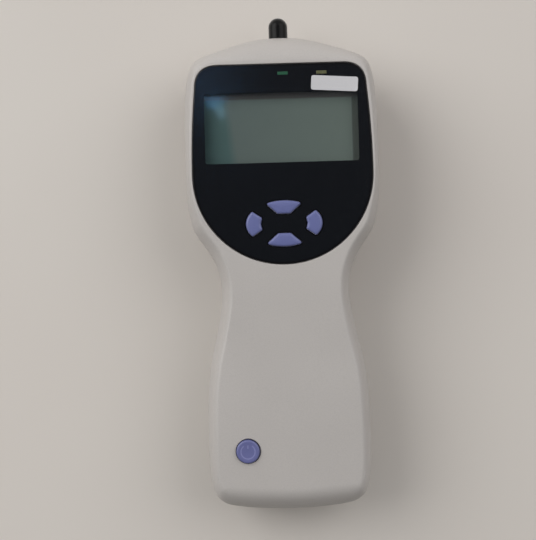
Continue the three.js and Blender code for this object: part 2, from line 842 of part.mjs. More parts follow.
// Room for the front shell's lip beside the bosses
function lipRoom() {
  const within = casingForm(casingWall + lipThickness + 2 * fitGap, casingWall, ceiling, lowFlank);
  return cut(innerForm, within).intersect(slab(partingHeight - lipDepth - fitGap, partingHeight + overrun));
}

function pumpFeet() {
  const [left, right] = pumpBaseAcross();
  const [low, high] = pumpBaseAlong();
  const inset = pumpFootRadius + fitGap;
  return [
    [left + inset, low + inset],
    [right - inset, low + inset],
    [left + inset, high - inset],
    [right - inset, high - inset],
  ];
}

addPiece('front_shell', frontShell(), 'casing');
addPiece('rear_shell', rearShell(), 'casing');

// Battery door: a plate that follows the back, hooks at its head edge and a catch at its foot edge
function batteryDoor() {
  const half = bayHalf - fitGap;
  const edges = [doorFootEdge + doorSwingGap, doorTopEdge - fitGap];
  const inside = doorRecess + casingWall;
  const panel = block(around(0, 2 * half), edges, [doorRecess, inside]).intersect(outerForm);
  const hookBottom = casingWall + fitGap;
  const hookTop = hookBottom + hookThickness;
  const hookStart = edges[1] - hookRoot;
  const hooks = hookPlaces().map(([x, width]) => joined(
    block(around(x, width), [hookStart, edges[1]], [casingWall, hookTop]),
    block(around(x, width), [hookStart, edges[1] + fitGap + hookReach], [hookBottom, hookTop]),
  ));
  const latch = block(
    around(0, latchWidth),
    [edges[0], edges[0] + latchThickness],
    [casingWall, inside + latchHeight],
  );
  return joined(panel, ...hooks, latch);
}

function hookPlaces() {
  const side = bayHalf - fitGap - hookSideWidth / 2;
  return [[-side, hookSideWidth], [0, hookMiddleWidth], [side, hookSideWidth]];
}

addPiece('battery_door', batteryDoor(), 'door');

// Screws: pan head in its counterbore, shank up into the front boss
function casingScrew([x, y]) {
  const headTop = screwSeatHeight - seatGap;
  const headBottom = headTop - screwHeadHeight;
  const slots = [[driveSlotWidth, driveSlotLength], [driveSlotLength, driveSlotWidth]];
  return cut(
    joined(
      barZ(x, y, screwHeadRadius, headBottom, headTop),
      barZ(x, y, screwShankRadius, headTop - screwHeadHeight / 2, screwTop),
    ),
    ...slots.map(([width, length]) => (
      block(around(x, width), around(y, length), [headBottom - overrun, headBottom + driveSlotDepth])
    )),
  );
}

screws.forEach((place, i) => addPiece(`casing_screw_${i + 1}`, casingScrew(place), 'steel'));

// Fascia, window pane, film and tab
addPiece('fascia_panel', cut(
  plate(fascia, fasciaBottom, fasciaTop),
  plate(windowOutline(fitGap), fasciaBottom - overrun, fasciaTop + overrun),
  ...indicatorHoles(fasciaBottom - overrun, fasciaTop + overrun, fitGap),
  ...keyHoles(fasciaBottom - overrun, fasciaTop + overrun, padKeys),
), 'fascia');
addPiece('display_window', plate(windowOutline(0), fasciaBottom, fasciaTop), 'clear');

const filmBottom = fasciaTop + seatGap / 2;
const filmTop = filmBottom + filmThickness;
addPiece('protective_film', cut(
  plate(grown(fascia, -filmInset), filmBottom, filmTop),
  ...keyHoles(filmBottom - overrun, filmTop + overrun, padKeys, 2 * fitGap),
), 'clear');
addPiece('peel_tab', plate(
  moved(
    rectangle(0, 0, tabWidth, tabLength, tabCornerRadius),
    fasciaTopWidth / 2 - tabFromFasciaSide,
    topEnd - fasciaFromTop - tabBelowFasciaTop,
    tabTurn,
  ),
  filmTop + seatGap / 2,
  filmTop + seatGap / 2 + tabThickness,
), 'label');

// Display glass, backlight and the frame that holds them to the board
const glassOutline = [
  around(0, windowWidth + 2 * glassMargin),
  around(windowMiddle, windowLength + 2 * glassMargin),
];
addPiece('lcd_glass', block(...glassOutline, [glassBottom, glassTop]), 'display');
addPiece('backlight', block(...glassOutline, [backlightBottom, backlightTop]), 'silicone');

function lcdFrame() {
  const hollow = [
    around(0, windowWidth + 2 * (glassMargin + fitGap)),
    around(windowMiddle, windowLength + 2 * (glassMargin + fitGap)),
  ];
  const outside = hollow.map(([low, high]) => [low - frameWall, high + frameWall]);
  return cut(
    block(...outside, [boardTop + seatGap, frameTop]),
    block(...hollow, [boardTop, frameTop - frameLip]),
    plate(windowOutline(fitGap), boardTop, frameTop + overrun),
  );
}

addPiece('lcd_frame', lcdFrame(), 'darkPlastic');

// Indicators: a light pipe from just above its lamp up into the fascia
for (const { name, across } of indicators) {
  const lampTop = boardTop + seatGap + ledHeight;
  addPiece(`${name}_led`, block(
    around(across, ledWidth),
    around(indicatorMiddle, ledLength),
    [boardTop + seatGap, lampTop],
  ), 'silicone');
  addPiece(`${name}_light_pipe`, block(
    around(across, indicatorWidth),
    around(indicatorMiddle, indicatorLength),
    [lampTop + fitGap, fasciaTop - seatGap / 2],
  ), name);
}

// Keys with the switches under them
const keyTop = casingDepth + keyProud;
const flangeTop = ceiling - fitGap;
const flangeBottom = flangeTop - keyFlangeThickness;
const switchTop = boardTop + seatGap + switchHeight;
const plungerTop = switchTop + plungerProud;

function keyCap({ points, middle: [x, y] }) {
  const raised = (list, height) => list.map(([u, v]) => [u, v, height]);
  const cap = lofted([
    raised(points, flangeBottom),
    raised(points, keyTop - keyBevel),
    raised(grown(points, -keyBevel), keyTop),
  ]);
  return joined(
    solidOf(cap),
    plate(grown(points, keyFlangeWidth), flangeBottom, flangeTop),
    barZ(x, y, keyStemRadius, plungerTop + seatGap, flangeBottom + keyFlangeThickness / 2),
  );
}

for (const key of keys) {
  const [x, y] = key.middle;
  addPiece(`key_${key.name}`, keyCap(key), 'key');
  addPiece(`switch_body_${key.name}`, cut(
    block(around(x, switchWidth), around(y, switchWidth), [boardTop + seatGap, switchTop]),
    barZ(x, y, plungerRadius + fitGap, plungerTop - plungerLength - keyTravel - fitGap, switchTop + overrun),
  ), 'darkPlastic');
  addPiece(
    `switch_plunger_${key.name}`,
    barZ(x, y, plungerRadius, plungerTop - plungerLength, plungerTop),
    'rubber',
  );
}

// Circuit board: the casing's outline drawn in, cut to length, with room for the screw bosses
function mainBoard() {
  const points = outline.map(([x, y], i) => {
    const [across, along] = outlineNormals[i];
    const inset = casingWall + boardMargin;
    const share = flankShareAt(boardTop);
    return [x - across * inset - leans[i].x * share, y - along * inset - leans[i].y * share];
  });
  const length = [footEnd + boardFromFoot, topEnd - boardFromTop];
  const blank = plate(points, boardBottom, boardTop)
    .intersect(block(around(0, 2 * headHalf), length, [boardBottom - overrun, boardTop + overrun]));
  const holes = screws.map(([x, y]) => (
    barZ(x, y, bossRadius + fitGap, boardBottom - overrun, boardTop + overrun)
  ));
  return cut(blank, ...holes);
}

addPiece('main_board', mainBoard(), 'board');

// Pressure sensor under the board
const sensorTop = boardBottom - seatGap;
const sensorMiddle = topEnd - sensorFromTop;
const sensorHeightMiddle = sensorTop - sensorHeight / 2;
const sensorNippleEnd = sensorAcross - sensorWidth / 2 - nippleLength;
addPiece('pressure_sensor', joined(
  block(
    around(sensorAcross, sensorWidth),
    around(sensorMiddle, sensorLength),
    [sensorTop - sensorHeight, sensorTop],
  ),
  barX(sensorMiddle, sensorHeightMiddle, nippleRadius, sensorNippleEnd, sensorAcross),
), 'darkPlastic');

// Ear probe, turned about its own line along Y
const coneTipEnd = topEnd + capOverhang - coneTipRoom;
const spigotRadius = coneBaseDiameter / 2 - coneWall - fitGap;
const spigotEnd = bodyFace + gasketThickness + spigotLength;
const tipBore = tipDiameter / 2 + fitGap;
const coneShoulderEnd = coneEnd + coneBaseLength;

// The cap ends in a half round, outside and inside
function probeCap() {
  const radius = capDiameter / 2;
  const bore = radius - capWall;
  const mouth = topEnd - capInside;
  const domeStart = topEnd + capOverhang - radius;
  const dome = (r) => Array.from({ length: cornerSteps + 1 }, (_, step) => {
    const angle = (Math.PI / 2) * (step / cornerSteps);
    return [step === cornerSteps ? 0 : r * Math.cos(angle), domeStart + r * Math.sin(angle)];
  });
  return turnedY(0, probeHeight, [
    [bore, mouth],
    [radius, mouth],
    ...dome(radius),
    ...dome(bore).reverse(),
    [bore, mouth],
  ]);
}

addPiece('probe_cap', probeCap(), 'black');

const coneFront = capDiameter / 2 - capWall - fitGap;
addPiece('nose_cone', turnedY(0, probeHeight, [
  [coneBaseDiameter / 2 - coneWall, coneEnd],
  [coneBaseDiameter / 2, coneEnd],
  [coneBaseDiameter / 2, coneShoulderEnd],
  [coneFront, coneShoulderEnd + coneShoulder],
  [coneTipDiameter / 2, coneTipEnd],
  [tipBore, coneTipEnd],
  [tipBore, spigotEnd + fitGap + coneShoulder],
  [coneBaseDiameter / 2 - coneWall, spigotEnd + fitGap],
  [coneBaseDiameter / 2 - coneWall, coneEnd],
]), 'darkPlastic');

addPiece('probe_tip', turnedY(0, probeHeight, [
  [tipChannelDiameter / 2, bodyFace - spigotLength],
  [tipDiameter / 2, bodyFace - spigotLength],
  [tipDiameter / 2, coneTipEnd - fitGap],
  [tipChannelDiameter / 2, coneTipEnd - fitGap],
  [tipChannelDiameter / 2, bodyFace - spigotLength],
], coarseSides), 'silicone');

addPiece('probe_gasket', turnedY(0, probeHeight, [
  [spigotRadius + fitGap, bodyFace + seatGap],
  [coneBaseDiameter / 2, bodyFace + seatGap],
  [coneBaseDiameter / 2, bodyFace + gasketThickness],
  [spigotRadius + fitGap, bodyFace + gasketThickness],
  [spigotRadius + fitGap, bodyFace + seatGap],
]), 'rubber');

const nipples = [
  { x: -nippleAcross, z: probeHeight - nippleRise },
  { x: nippleAcross, z: probeHeight + nippleRise },
];
addPiece('probe_body', cut(
  joined(
    block(around(0, probeBodyWidth), [bodyBack, bodyFace], around(probeHeight, probeBodyHeight)),
    barY(0, probeHeight, spigotRadius, bodyFace - overrun, spigotEnd, fineSides),
    ...nipples.map(({ x, z }) => barY(x, z, nippleRadius, bodyBack - nippleLength, bodyBack + overrun)),
  ),
  barY(0, probeHeight, tipBore, bodyFace - spigotLength - fitGap, spigotEnd + overrun),
), 'darkPlastic');

const speakerFace = -probeBodyWidth / 2 - seatGap;
const microphoneFace = probeBodyWidth / 2 + seatGap;
addPiece('speaker', barX(
  bodyMiddle,
  probeHeight,
  speakerRadius,
  speakerFace - speakerLength,
  speakerFace,
), 'steel');
addPiece('microphone', barX(
  bodyMiddle,
  probeHeight,
  microphoneRadius,
  microphoneFace,
  microphoneFace + microphoneLength,
), 'brass');

// Air pump: a cylinder across the head, its piston drawn by a pinion on the rod's rack
function pumpBaseAcross() {
  return [cylinderClosedAcross + baseInset, pinionAcross + motorRadius + fitGap];
}

function pumpBaseAlong() {
  const far = pinionMiddle + motorRadius;
  return [far - pumpBaseLength, far];
}

function pumpBar(radius, ...ends) {
  return barX(pumpMiddle, pumpAxisHeight, radius, ...ends, fineSides);
}

const portAcross = cylinderClosedAcross + cylinderEnd + nippleRadius;
const portEnd = pumpMiddle + cylinderRadius + nippleLength;
addPiece('pump_cylinder', cut(
  joined(
    pumpBar(cylinderRadius, cylinderClosedAcross, cylinderOpenAcross),
    barY(portAcross, pumpAxisHeight, nippleRadius, pumpMiddle + boreRadius, portEnd),
  ),
  pumpBar(boreRadius, cylinderClosedAcross + cylinderEnd, cylinderOpenAcross + overrun),
), 'clear');

function pumpBase() {
  const saddlePlaces = [
    cylinderClosedAcross + saddleInset,
    cylinderOpenAcross - saddleLength,
  ];
  const saddles = saddlePlaces.map((x) => block(
    around(x, saddleLength),
    around(pumpMiddle, 2 * boreRadius),
    [baseTop - seatGap, pumpAxisHeight - boreRadius / 2],
  ));
  const guide = block(
    [pinionAcross + motorRadius - saddleLength, pinionAcross + motorRadius],
    around(pumpMiddle, rodWidth),
    [baseTop - seatGap, pumpAxisHeight - rodWidth / 2 - fitGap],
  );
  return cut(
    joined(
      block(pumpBaseAcross(), pumpBaseAlong(), [pumpBaseHeight, baseTop]),
      ...saddles,
      guide,
    ),
    pumpBar(cylinderRadius + fitGap, cylinderClosedAcross, cylinderOpenAcross),
    barZ(pinionAcross, pinionMiddle, motorRadius + fitGap, baseTop, motorTop + overrun, fineSides),
  );
}

addPiece('pump_base', pumpBase(), 'darkPlastic');
addPiece('pump_motor', joined(
  barZ(pinionAcross, pinionMiddle, motorRadius, baseTop + seatGap, motorTop, fineSides),
  barZ(pinionAcross, pinionMiddle, shaftRadius, motorTop - overrun, pinionBottom + pinionThickness),
), 'steel');

// One tooth of the rack or pinion: narrow at its tip, wide at its root
function toothCorners(rootDrop) {
  const half = (toothPitch * toothShare) / 2;
  const tip = toothModule * toothTipShare;
  return [
    [half + rootDrop * toothSlope, -rootDrop],
    [half - tip * toothSlope, tip],
    [-half + tip * toothSlope, tip],
    [-half - rootDrop * toothSlope, -rootDrop],
  ];
}

function pinion() {
  const rootRadius = pitchRadius - toothModule;
  const thickness = [pinionBottom, pinionBottom + pinionThickness];
  const teeth = Array.from({ length: pinionTeeth }, (_, i) => {
    const angle = -Math.PI / 2 + (2 * Math.PI * i) / pinionTeeth;
    const corners = toothCorners(toothModule + fitGap);
    const placed = moved(corners.map(([u, v]) => [u, v + pitchRadius]), 0, 0, angle - Math.PI / 2);
    return plate(moved(placed, pinionAcross, pinionMiddle), ...thickness);
  });
  return cut(
    joined(
      barZ(pinionAcross, pinionMiddle, rootRadius, ...thickness, fineSides),
      ...teeth,
    ),
    barZ(pinionAcross, pinionMiddle, shaftRadius + fitGap, thickness[0] - overrun, thickness[1] + overrun),
  );
}

addPiece('pump_pinion', pinion(), 'brass');

const grooveMiddle = pistonStart + pistonLength / 2;

function pistonBar(radius, length) {
  return pumpBar(radius, ...around(grooveMiddle, length));
}

function pumpPiston() {
  const rodEnd = pinionAcross + 2 * toothPitch;
  const rackTop = pumpMiddle + rodWidth / 2;
  const firstTooth = Math.ceil((pistonStroke + toothPitch) / toothPitch);
  const lastTooth = 1;
  const rack = [];
  for (let i = -firstTooth; i <= lastTooth; i += 1) {
    const x = pinionAcross + i * toothPitch + toothPitch / 2;
    const corners = toothCorners(rackPitchLine - rackTop + fitGap);
    rack.push(plate(moved(corners, x, rackPitchLine), ...around(pumpAxisHeight, rodWidth)));
  }
  return cut(
    joined(
      pistonBar(pistonRadius, pistonLength),
      block([grooveMiddle, rodEnd], around(pumpMiddle, rodWidth), around(pumpAxisHeight, rodWidth)),
      ...rack,
    ),
    cut(pistonBar(boreRadius, sealSection + 2 * fitGap), pistonBar(pistonRadius - sealSection, pistonLength)),
  );
}

addPiece('pump_piston', pumpPiston(), 'darkPlastic');

addPiece('piston_seal', cut(
  pistonBar(boreRadius - pistonGap / 2, sealSection),
  pistonBar(pistonRadius - sealSection + fitGap, pistonLength),
), 'rubber');

// Silicone tubes over the nipples, each along one smooth curve with straight ends
function tube(places) {
  const points = places.map((place) => new THREE.Vector3(...place));
  const extrudePath = new THREE.CatmullRomCurve3(points, false, 'centripetal');
  const section = new THREE.Shape(circlePoints(tubeRadius, tubeSides));
  section.holes.push(new THREE.Path(circlePoints(nippleRadius + fitGap, tubeSides)));
  return solidOf(new THREE.ExtrudeGeometry(section, { steps: tubeSteps, extrudePath, curveSegments: 1 }));
}

const bodyNippleEnd = bodyBack - nippleLength;
addPiece('pump_tube', tube([
  [portAcross, portEnd - tubeGrip, pumpAxisHeight],
  [portAcross, portEnd, pumpAxisHeight],
  [portAcross, portEnd + tubeGrip, pumpAxisHeight],
  [nipples[0].x, bodyNippleEnd - tubeGrip, nipples[0].z],
  [nipples[0].x, bodyNippleEnd, nipples[0].z],
  [nipples[0].x, bodyNippleEnd + tubeGrip, nipples[0].z],
]), 'silicone');
addPiece('sensor_tube', tube([
  [sensorNippleEnd + tubeGrip, sensorMiddle, sensorHeightMiddle],
  [sensorNippleEnd, sensorMiddle, sensorHeightMiddle],
  [sensorNippleEnd - tubeGrip, sensorMiddle, sensorHeightMiddle],
  [nipples[1].x, bodyNippleEnd - tubeGrip, nipples[1].z],
  [nipples[1].x, bodyNippleEnd, nipples[1].z],
  [nipples[1].x, bodyNippleEnd + tubeGrip, nipples[1].z],
]), 'silicone');

// Cells, two in line on each side, and their contacts
const cellAcross = cellDiameter / 2 + fitGap / 2;

function cell(x, back, forward) {
  const step = Math.sign(forward - back);
  const shoulder = forward - step * nubLength;
  const radius = cellDiameter / 2;
  const rows = [
    [0, back],
    [radius, back],
    [radius, shoulder],
    [nubRadius, shoulder],
    [nubRadius, forward],
    [0, forward],
  ];
  return turnedY(x, cellHeight, step > 0 ? rows : rows.reverse(), cellSides);
}

const cellSplit = [cellsFootEnd + cellLength, cellsTopEnd - cellLength];
addPiece('cell_1', cell(-cellAcross, cellsFootEnd, cellSplit[0]), 'cell');
addPiece('cell_2', cell(-cellAcross, cellSplit[1], cellsTopEnd), 'cell');
addPiece('cell_3', cell(cellAcross, cellsTopEnd, cellSplit[1]), 'cell');
addPiece('cell_4', cell(cellAcross, cellSplit[0], cellsFootEnd), 'cell');

const contactsTop = bayTopEnd - seatGap;
const contactsFoot = bayFootEnd + seatGap;
const contactReach = contactRoom - seatGap - fitGap;

// Two places along the bay in rising order, from a wall inward
function inwardFrom(y, inward, distance) {
  return inward > 0 ? [y, y + distance] : [y - distance, y];
}

function contactPlate(x, width, y, inward) {
  return block(
    around(x, width),
    inwardFrom(y, inward, contactThickness),
    around(cellHeight, contactHeight),
  );
}

function contactButton(x, y, inward) {
  return barY(x, cellHeight, nubRadius, ...inwardFrom(y, inward, contactReach));
}

function contactSpring(x, y, inward) {
  const path = new THREE.Curve();
  path.getPoint = (t, target = new THREE.Vector3()) => {
    const radius = THREE.MathUtils.lerp(springRadius, springTipRadius, t);
    const angle = 2 * Math.PI * springTurns * t;
    const travel = contactThickness / 2 + t * (contactReach - contactThickness / 2 - springWire);
    const across = radius * Math.cos(angle);
    const up = radius * Math.sin(angle);
    return target.set(x + across, y + inward * travel, cellHeight + up);
  };
  const wire = new THREE.Shape(circlePoints(springWire / 2, springSides));
  const steps = springTurnSteps * springTurns;
  return solidOf(new THREE.ExtrudeGeometry(wire, { steps, extrudePath: path, curveSegments: 1 }));
}

addPiece('contact_bridge', joined(
  contactPlate(0, 2 * cellAcross + contactWidth, contactsFoot, 1),
  contactSpring(-cellAcross, contactsFoot, 1),
  contactButton(cellAcross, contactsFoot, 1),
), 'steel');
addPiece('contact_plus', joined(
  contactPlate(-cellAcross, contactWidth, contactsTop, -1),
  contactButton(-cellAcross, contactsTop, -1),
), 'steel');
addPiece('contact_minus', joined(
  contactPlate(cellAcross, contactWidth, contactsTop, -1),
  contactSpring(cellAcross, contactsTop, -1),
), 'steel');

// Infrared window in the foot end, held by a flange inside, and the transceiver behind it
function infraredBlock(growth) {
  return block(
    around(0, infraredWidth + 2 * growth),
    [footEnd - overrun, footEnd + infraredDepth],
    around(infraredMiddle, infraredHeight + 2 * growth),
  );
}

function infraredHole() {
  return infraredBlock(fitGap);
}

function infraredWindow() {
  const flangeOuter = casingForm(casingWall + fitGap, casingWall, ceiling);
  const flangeInner = casingForm(casingWall + fitGap + infraredFlange, casingWall, ceiling);
  const pane = cut(outerForm.intersect(infraredBlock(0)), flangeInner);
  const flange = cut(flangeOuter.intersect(infraredBlock(infraredFlange)), flangeInner);
  return joined(pane, flange);
}

addPiece('infrared_window', infraredWindow(), 'fascia');
addPiece('infrared_transceiver', block(
  around(0, transceiverWidth),
  [footEnd + boardFromFoot, footEnd + boardFromFoot + transceiverLength],
  [boardBottom - seatGap - transceiverHeight, boardBottom - seatGap],
), 'darkPlastic');

export default instrument;
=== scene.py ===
# %% [markdown]
# # A handheld tympanometer
# A tympanometer measures how the ear drum moves while a small pump changes the pressure in the ear. The
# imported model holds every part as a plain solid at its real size. This script loads it as a fixed frame,
# and builds a finely shaped piece over each solid that shows, in metres, in the same place.

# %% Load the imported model
import math
import bmesh
import bpy
from mathutils import Matrix, Vector
from mathutils.geometry import intersect_line_line_2d


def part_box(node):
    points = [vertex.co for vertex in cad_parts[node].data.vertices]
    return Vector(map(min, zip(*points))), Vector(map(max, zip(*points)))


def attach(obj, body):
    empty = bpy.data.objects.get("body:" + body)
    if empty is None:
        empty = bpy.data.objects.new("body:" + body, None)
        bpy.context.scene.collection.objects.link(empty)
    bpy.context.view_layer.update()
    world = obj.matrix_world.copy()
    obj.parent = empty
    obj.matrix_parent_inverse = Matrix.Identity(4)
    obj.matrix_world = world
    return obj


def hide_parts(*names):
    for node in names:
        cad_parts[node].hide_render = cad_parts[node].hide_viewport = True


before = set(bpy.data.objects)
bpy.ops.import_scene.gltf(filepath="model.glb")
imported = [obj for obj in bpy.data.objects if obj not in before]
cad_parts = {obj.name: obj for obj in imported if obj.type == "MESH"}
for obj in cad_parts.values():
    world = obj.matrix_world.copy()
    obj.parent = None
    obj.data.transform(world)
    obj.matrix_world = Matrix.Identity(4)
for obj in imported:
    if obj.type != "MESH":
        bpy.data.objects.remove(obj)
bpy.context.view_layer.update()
MM = 0.001


def box_mm(node):
    """Lowest and highest corner of a solid, in millimetres."""
    return [Vector(corner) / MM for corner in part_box(node)]


def middle_mm(node):
    low, high = box_mm(node)
    return (low + high) / 2


def new_object(name, data):
    made = bpy.data.objects.new(name, data)
    bpy.context.scene.collection.objects.link(made)
    return made


# %% [markdown]
# ## Camera
# The photograph looks straight down from about 45 cm, and the instrument leans a little to the left.
# The instrument stays straight here, and the camera is turned the other way.
# The lens, on a sensor 36 mm wide, gives the scale of the photograph.

# %% Camera above the instrument
camera_data = bpy.data.cameras.new("camera")
camera_data.lens = 69.89
camera_data.sensor_width = 36
camera_data.clip_start = 0.01
camera = new_object("camera", camera_data)
camera.location = (-0.0069, -0.0032, 0.45)
camera.rotation_euler = (0, 0, math.radians(-1.65))
bpy.context.scene.camera = camera
bpy.context.scene.view_settings.view_transform = "Standard"
print("camera height in mm:", round(camera.location.z * 1000))

# %% [markdown]
# ## Colours and shader nodes
# Colours are written as the sRGB hex values that a picture shows, and one function turns them to the
# linear values of a shader. Another adds a node, sets it and links it, so a material reads as a list of
# what feeds what.

# %% Colour and node helpers
def linear(code):
    parts = [int(code[i:i + 2], 16) / 255 for i in (1, 3, 5)]
    return tuple(c / 12.92 if c <= 0.04045 else ((c + 0.055) / 1.055) ** 2.4 for c in parts) + (1,)


def feed(tree, node, **inputs):
    """Sets inputs to values, or links sockets or nodes' first outputs to them. _ stands for a space."""
    for name, value in inputs.items():
        key = int(name[1:]) if name[0] == "n" and name[1:].isdigit() else name.replace("_", " ")
        if isinstance(value, bpy.types.Node):
            value = value.outputs[0]
        if isinstance(value, bpy.types.NodeSocket):
            tree.links.new(value, node.inputs[key])
        else:
            node.inputs[key].default_value = value


def add_node(tree, kind, settings=None, stops=(), **inputs):
    """A node with its settings, its inputs, and the colours or greys of its ramp from 0 to 1."""
    node = tree.nodes.new("ShaderNode" + kind)
    for name, value in (settings or {}).items():
        setattr(node, name, value)
    if stops:
        rows = node.color_ramp.elements
        while len(rows) < len(stops):
            rows.new(0.5)
        for row, (position, colour) in zip(rows, stops):
            row.position = position
            row.color = linear(colour) if isinstance(colour, str) else (colour, colour, colour, 1)
    feed(tree, node, **inputs)
    return node


# %% Start of every material: its shader, with constants on the shader's own sockets
def start_material(name, **inputs):
    made = bpy.data.materials.new(name)
    made.use_nodes = True
    tree = made.node_tree
    tree.nodes.clear()
    shader = add_node(tree, "BsdfPrincipled", **inputs)
    add_node(tree, "OutputMaterial", Surface=shader)
    place = add_node(tree, "TexCoord").outputs["Object"]
    return made, tree, shader, place


def per_mm(size):
    """Scale of a pattern whose features are this many millimetres across."""
    return 1 / (size * MM)


# %% [markdown]
# ## Casing plastic
# The casing is injection-moulded ABS in a cool white. Its spark-eroded mould leaves an even grain of
# about 0.2 mm, which would vanish in a picture of this size, so it is drawn at 0.5 mm. A slow waviness
# stands for the slight shrinkage of the wall.

# %% Moulded ABS, fine spark-eroded grain
def moulded_abs(name, colour, shade, roughness=0.42, grain=0.5, depth=0.05, **inputs):
    made, tree, shader, place = start_material(name, IOR=1.53, **inputs)
    slow = add_node(tree, "TexNoise", Vector=place, Scale=per_mm(38), Detail=2)
    fine = add_node(tree, "TexNoise", Vector=place, Scale=per_mm(grain), Detail=3)
    tint = add_node(tree, "ValToRGB", stops=[(0.3, shade), (0.7, colour)], Fac=slow)
    speck = add_node(tree, "ValToRGB", stops=[(0.25, 0.93), (0.6, 1.0)], Fac=fine)
    mixed = add_node(tree, "Mix", {"data_type": "RGBA", "blend_type": "MULTIPLY"}, n0=1.0, n6=tint, n7=speck)
    rough = add_node(tree, "MapRange", Value=fine, To_Min=roughness - 0.05, To_Max=roughness + 0.07)
    coarse = add_node(tree, "Bump", Height=slow, Strength=0.12, Distance=0.0002)
    bump = add_node(tree, "Bump", Height=fine, Strength=depth * 4, Distance=0.00003, Normal=coarse)
    feed(tree, shader, Base_Color=mixed.outputs[2], Roughness=rough, Normal=bump)
    return made


casing_abs = moulded_abs("moulded ABS, cool white", "#BAB6B3", "#B6B2AF")
door_abs = moulded_abs("moulded ABS, battery door", "#B8B4B1", "#B4B0AD", roughness=0.46)
print("first materials:", [m.name for m in bpy.data.materials])

# %% [markdown]
# ## From a bmesh to a piece
# Every piece is shaped in millimetres, like the drawing. One function turns it to metres, gives it a
# material, hangs it on an empty for the body it rides on, and hides the solids it stands for. Its
# object stays at the origin, with its place in its mesh.

# %% Make a piece of the instrument
SHARP_FROM = 32  # degrees between two faces


def finish_piece(name, shape, material, body, slot, *replaces):
    """A bmesh or an object, both in millimetres, becomes a finished piece in metres."""
    draft = solid(shape)
    mesh = draft.data
    bpy.data.objects.remove(draft)
    mesh.name = name
    mesh.transform(Matrix.Scale(MM, 4))
    mesh.materials.clear()
    for one in material if isinstance(material, list) else [material]:
        mesh.materials.append(one)
    mesh.shade_smooth()
    mesh.set_sharp_from_angle(angle=math.radians(SHARP_FROM))
    piece = new_object(name, mesh)
    piece.modifiers.new("weighted normals", "WEIGHTED_NORMAL").keep_sharp = True
    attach(piece, body)
    if replaces:
        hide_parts(*replaces)
    return piece


# %% [markdown]
# ## Lofts, turned forms and cuts
# A loft extrudes a ring of edges and moves each new ring to its place, which suits the casing and its
# keys. A spin turns a profile round a line, which suits the probe. A Boolean cuts openings, with a
# flared tool where the cut edge has to come out rounded.

# %% Loft: each ring is extruded from the last one and moved to its place
def loft(rings, ring_closed=False):
    bm = bmesh.new()
    order = bm.verts.layers.int.new("order")
    bmesh.ops.create_circle(bm, segments=len(rings[0]), radius=1)
    for i, vert in enumerate(bm.verts):
        vert[order] = i
        vert.co = rings[0][i]
    first = list(bm.edges)
    edges = first
    for ring in rings[1:]:
        made = bmesh.ops.extrude_edge_only(bm, edges=edges)["geom"]
        new = {v for v in made if isinstance(v, bmesh.types.BMVert)}
        for vert in new:
            vert.co = ring[vert[order]]
        edges = [e for e in made if isinstance(e, bmesh.types.BMEdge) and set(e.verts) <= new]
    if ring_closed:
        bmesh.ops.bridge_loops(bm, edges=first + edges)
    bmesh.ops.remove_doubles(bm, verts=bm.verts, dist=0.0001)
    bmesh.ops.holes_fill(bm, edges=[e for e in bm.edges if e.is_boundary], sides=0)
    bm.verts.layers.int.remove(order)
    bmesh.ops.recalc_face_normals(bm, faces=bm.faces)
    return bm


# %% Turned form: rows hold a radius and a place along the line
def turned(rows, axis="Y", x=0, y=0, z=0, steps=64, closed=False):
    """A profile is drawn beside the +Z line, spun round it, then laid along its real line."""
    bm = bmesh.new()
    verts = [bmesh.ops.create_vert(bm, co=(radius, 0, along))["vert"][0] for radius, along in rows]
    pairs = list(zip(verts, verts[1:])) + ([(verts[-1], verts[0])] if closed else [])
    for pair in pairs:
        bm.edges.new(pair)
    bmesh.ops.spin(bm, geom=list(bm.verts) + list(bm.edges), axis=(0, 0, 1), angle=2 * math.pi,
                   steps=steps, use_merge=True)
    bmesh.ops.remove_doubles(bm, verts=bm.verts, dist=0.0005)
    bmesh.ops.recalc_face_normals(bm, faces=bm.faces)
    lay = Matrix.Identity(4) if axis == "Z" else Matrix.Rotation(-math.pi / 2, 4, "X")
    bmesh.ops.transform(bm, matrix=Matrix.Translation((x, y, z)) @ lay, verts=bm.verts)
    return bm


# %% Plain bodies
def block(x, y, z, edge=0.0):
    """A box between two places on each axis, with rounded edges if edge is given."""
    bm = bmesh.new()
    bmesh.ops.create_cube(bm, size=1)
    bmesh.ops.scale(bm, vec=(x[1] - x[0], y[1] - y[0], z[1] - z[0]), verts=bm.verts)
    bmesh.ops.translate(bm, vec=(sum(x) / 2, sum(y) / 2, sum(z) / 2), verts=bm.verts)
    if edge:
        bmesh.ops.bevel(bm, geom=list(bm.edges), offset=edge, segments=2, profile=0.5, affect="EDGES",
                        material=-1)
    return bm


def block_of(node, edge):
    """A block as large as the box of a solid."""
    return block(*zip(*box_mm(node)), edge)


def pins(places, radius, z0, z1):
    made = [bmesh.new() for _ in places]
    for bm, (x, y) in zip(made, places):
        bmesh.ops.create_cone(bm, cap_ends=True, segments=32, radius1=radius, radius2=radius, depth=z1 - z0)
        bmesh.ops.translate(bm, vec=(x, y, (z0 + z1) / 2), verts=bm.verts)
    return made


# %% Booleans
def solid(*shapes):
    """One object in millimetres from separate shapes that don't touch: bmeshes, or such objects."""
    mesh = bpy.data.meshes.new("solid")
    whole = bmesh.new()
    for shape in shapes:
        if isinstance(shape, bmesh.types.BMesh):
            shape.to_mesh(mesh)
            shape.free()
            whole.from_mesh(mesh)
        else:
            whole.from_mesh(shape.data)
            bpy.data.objects.remove(shape)
    whole.to_mesh(mesh)
    whole.free()
    return new_object("solid", mesh)


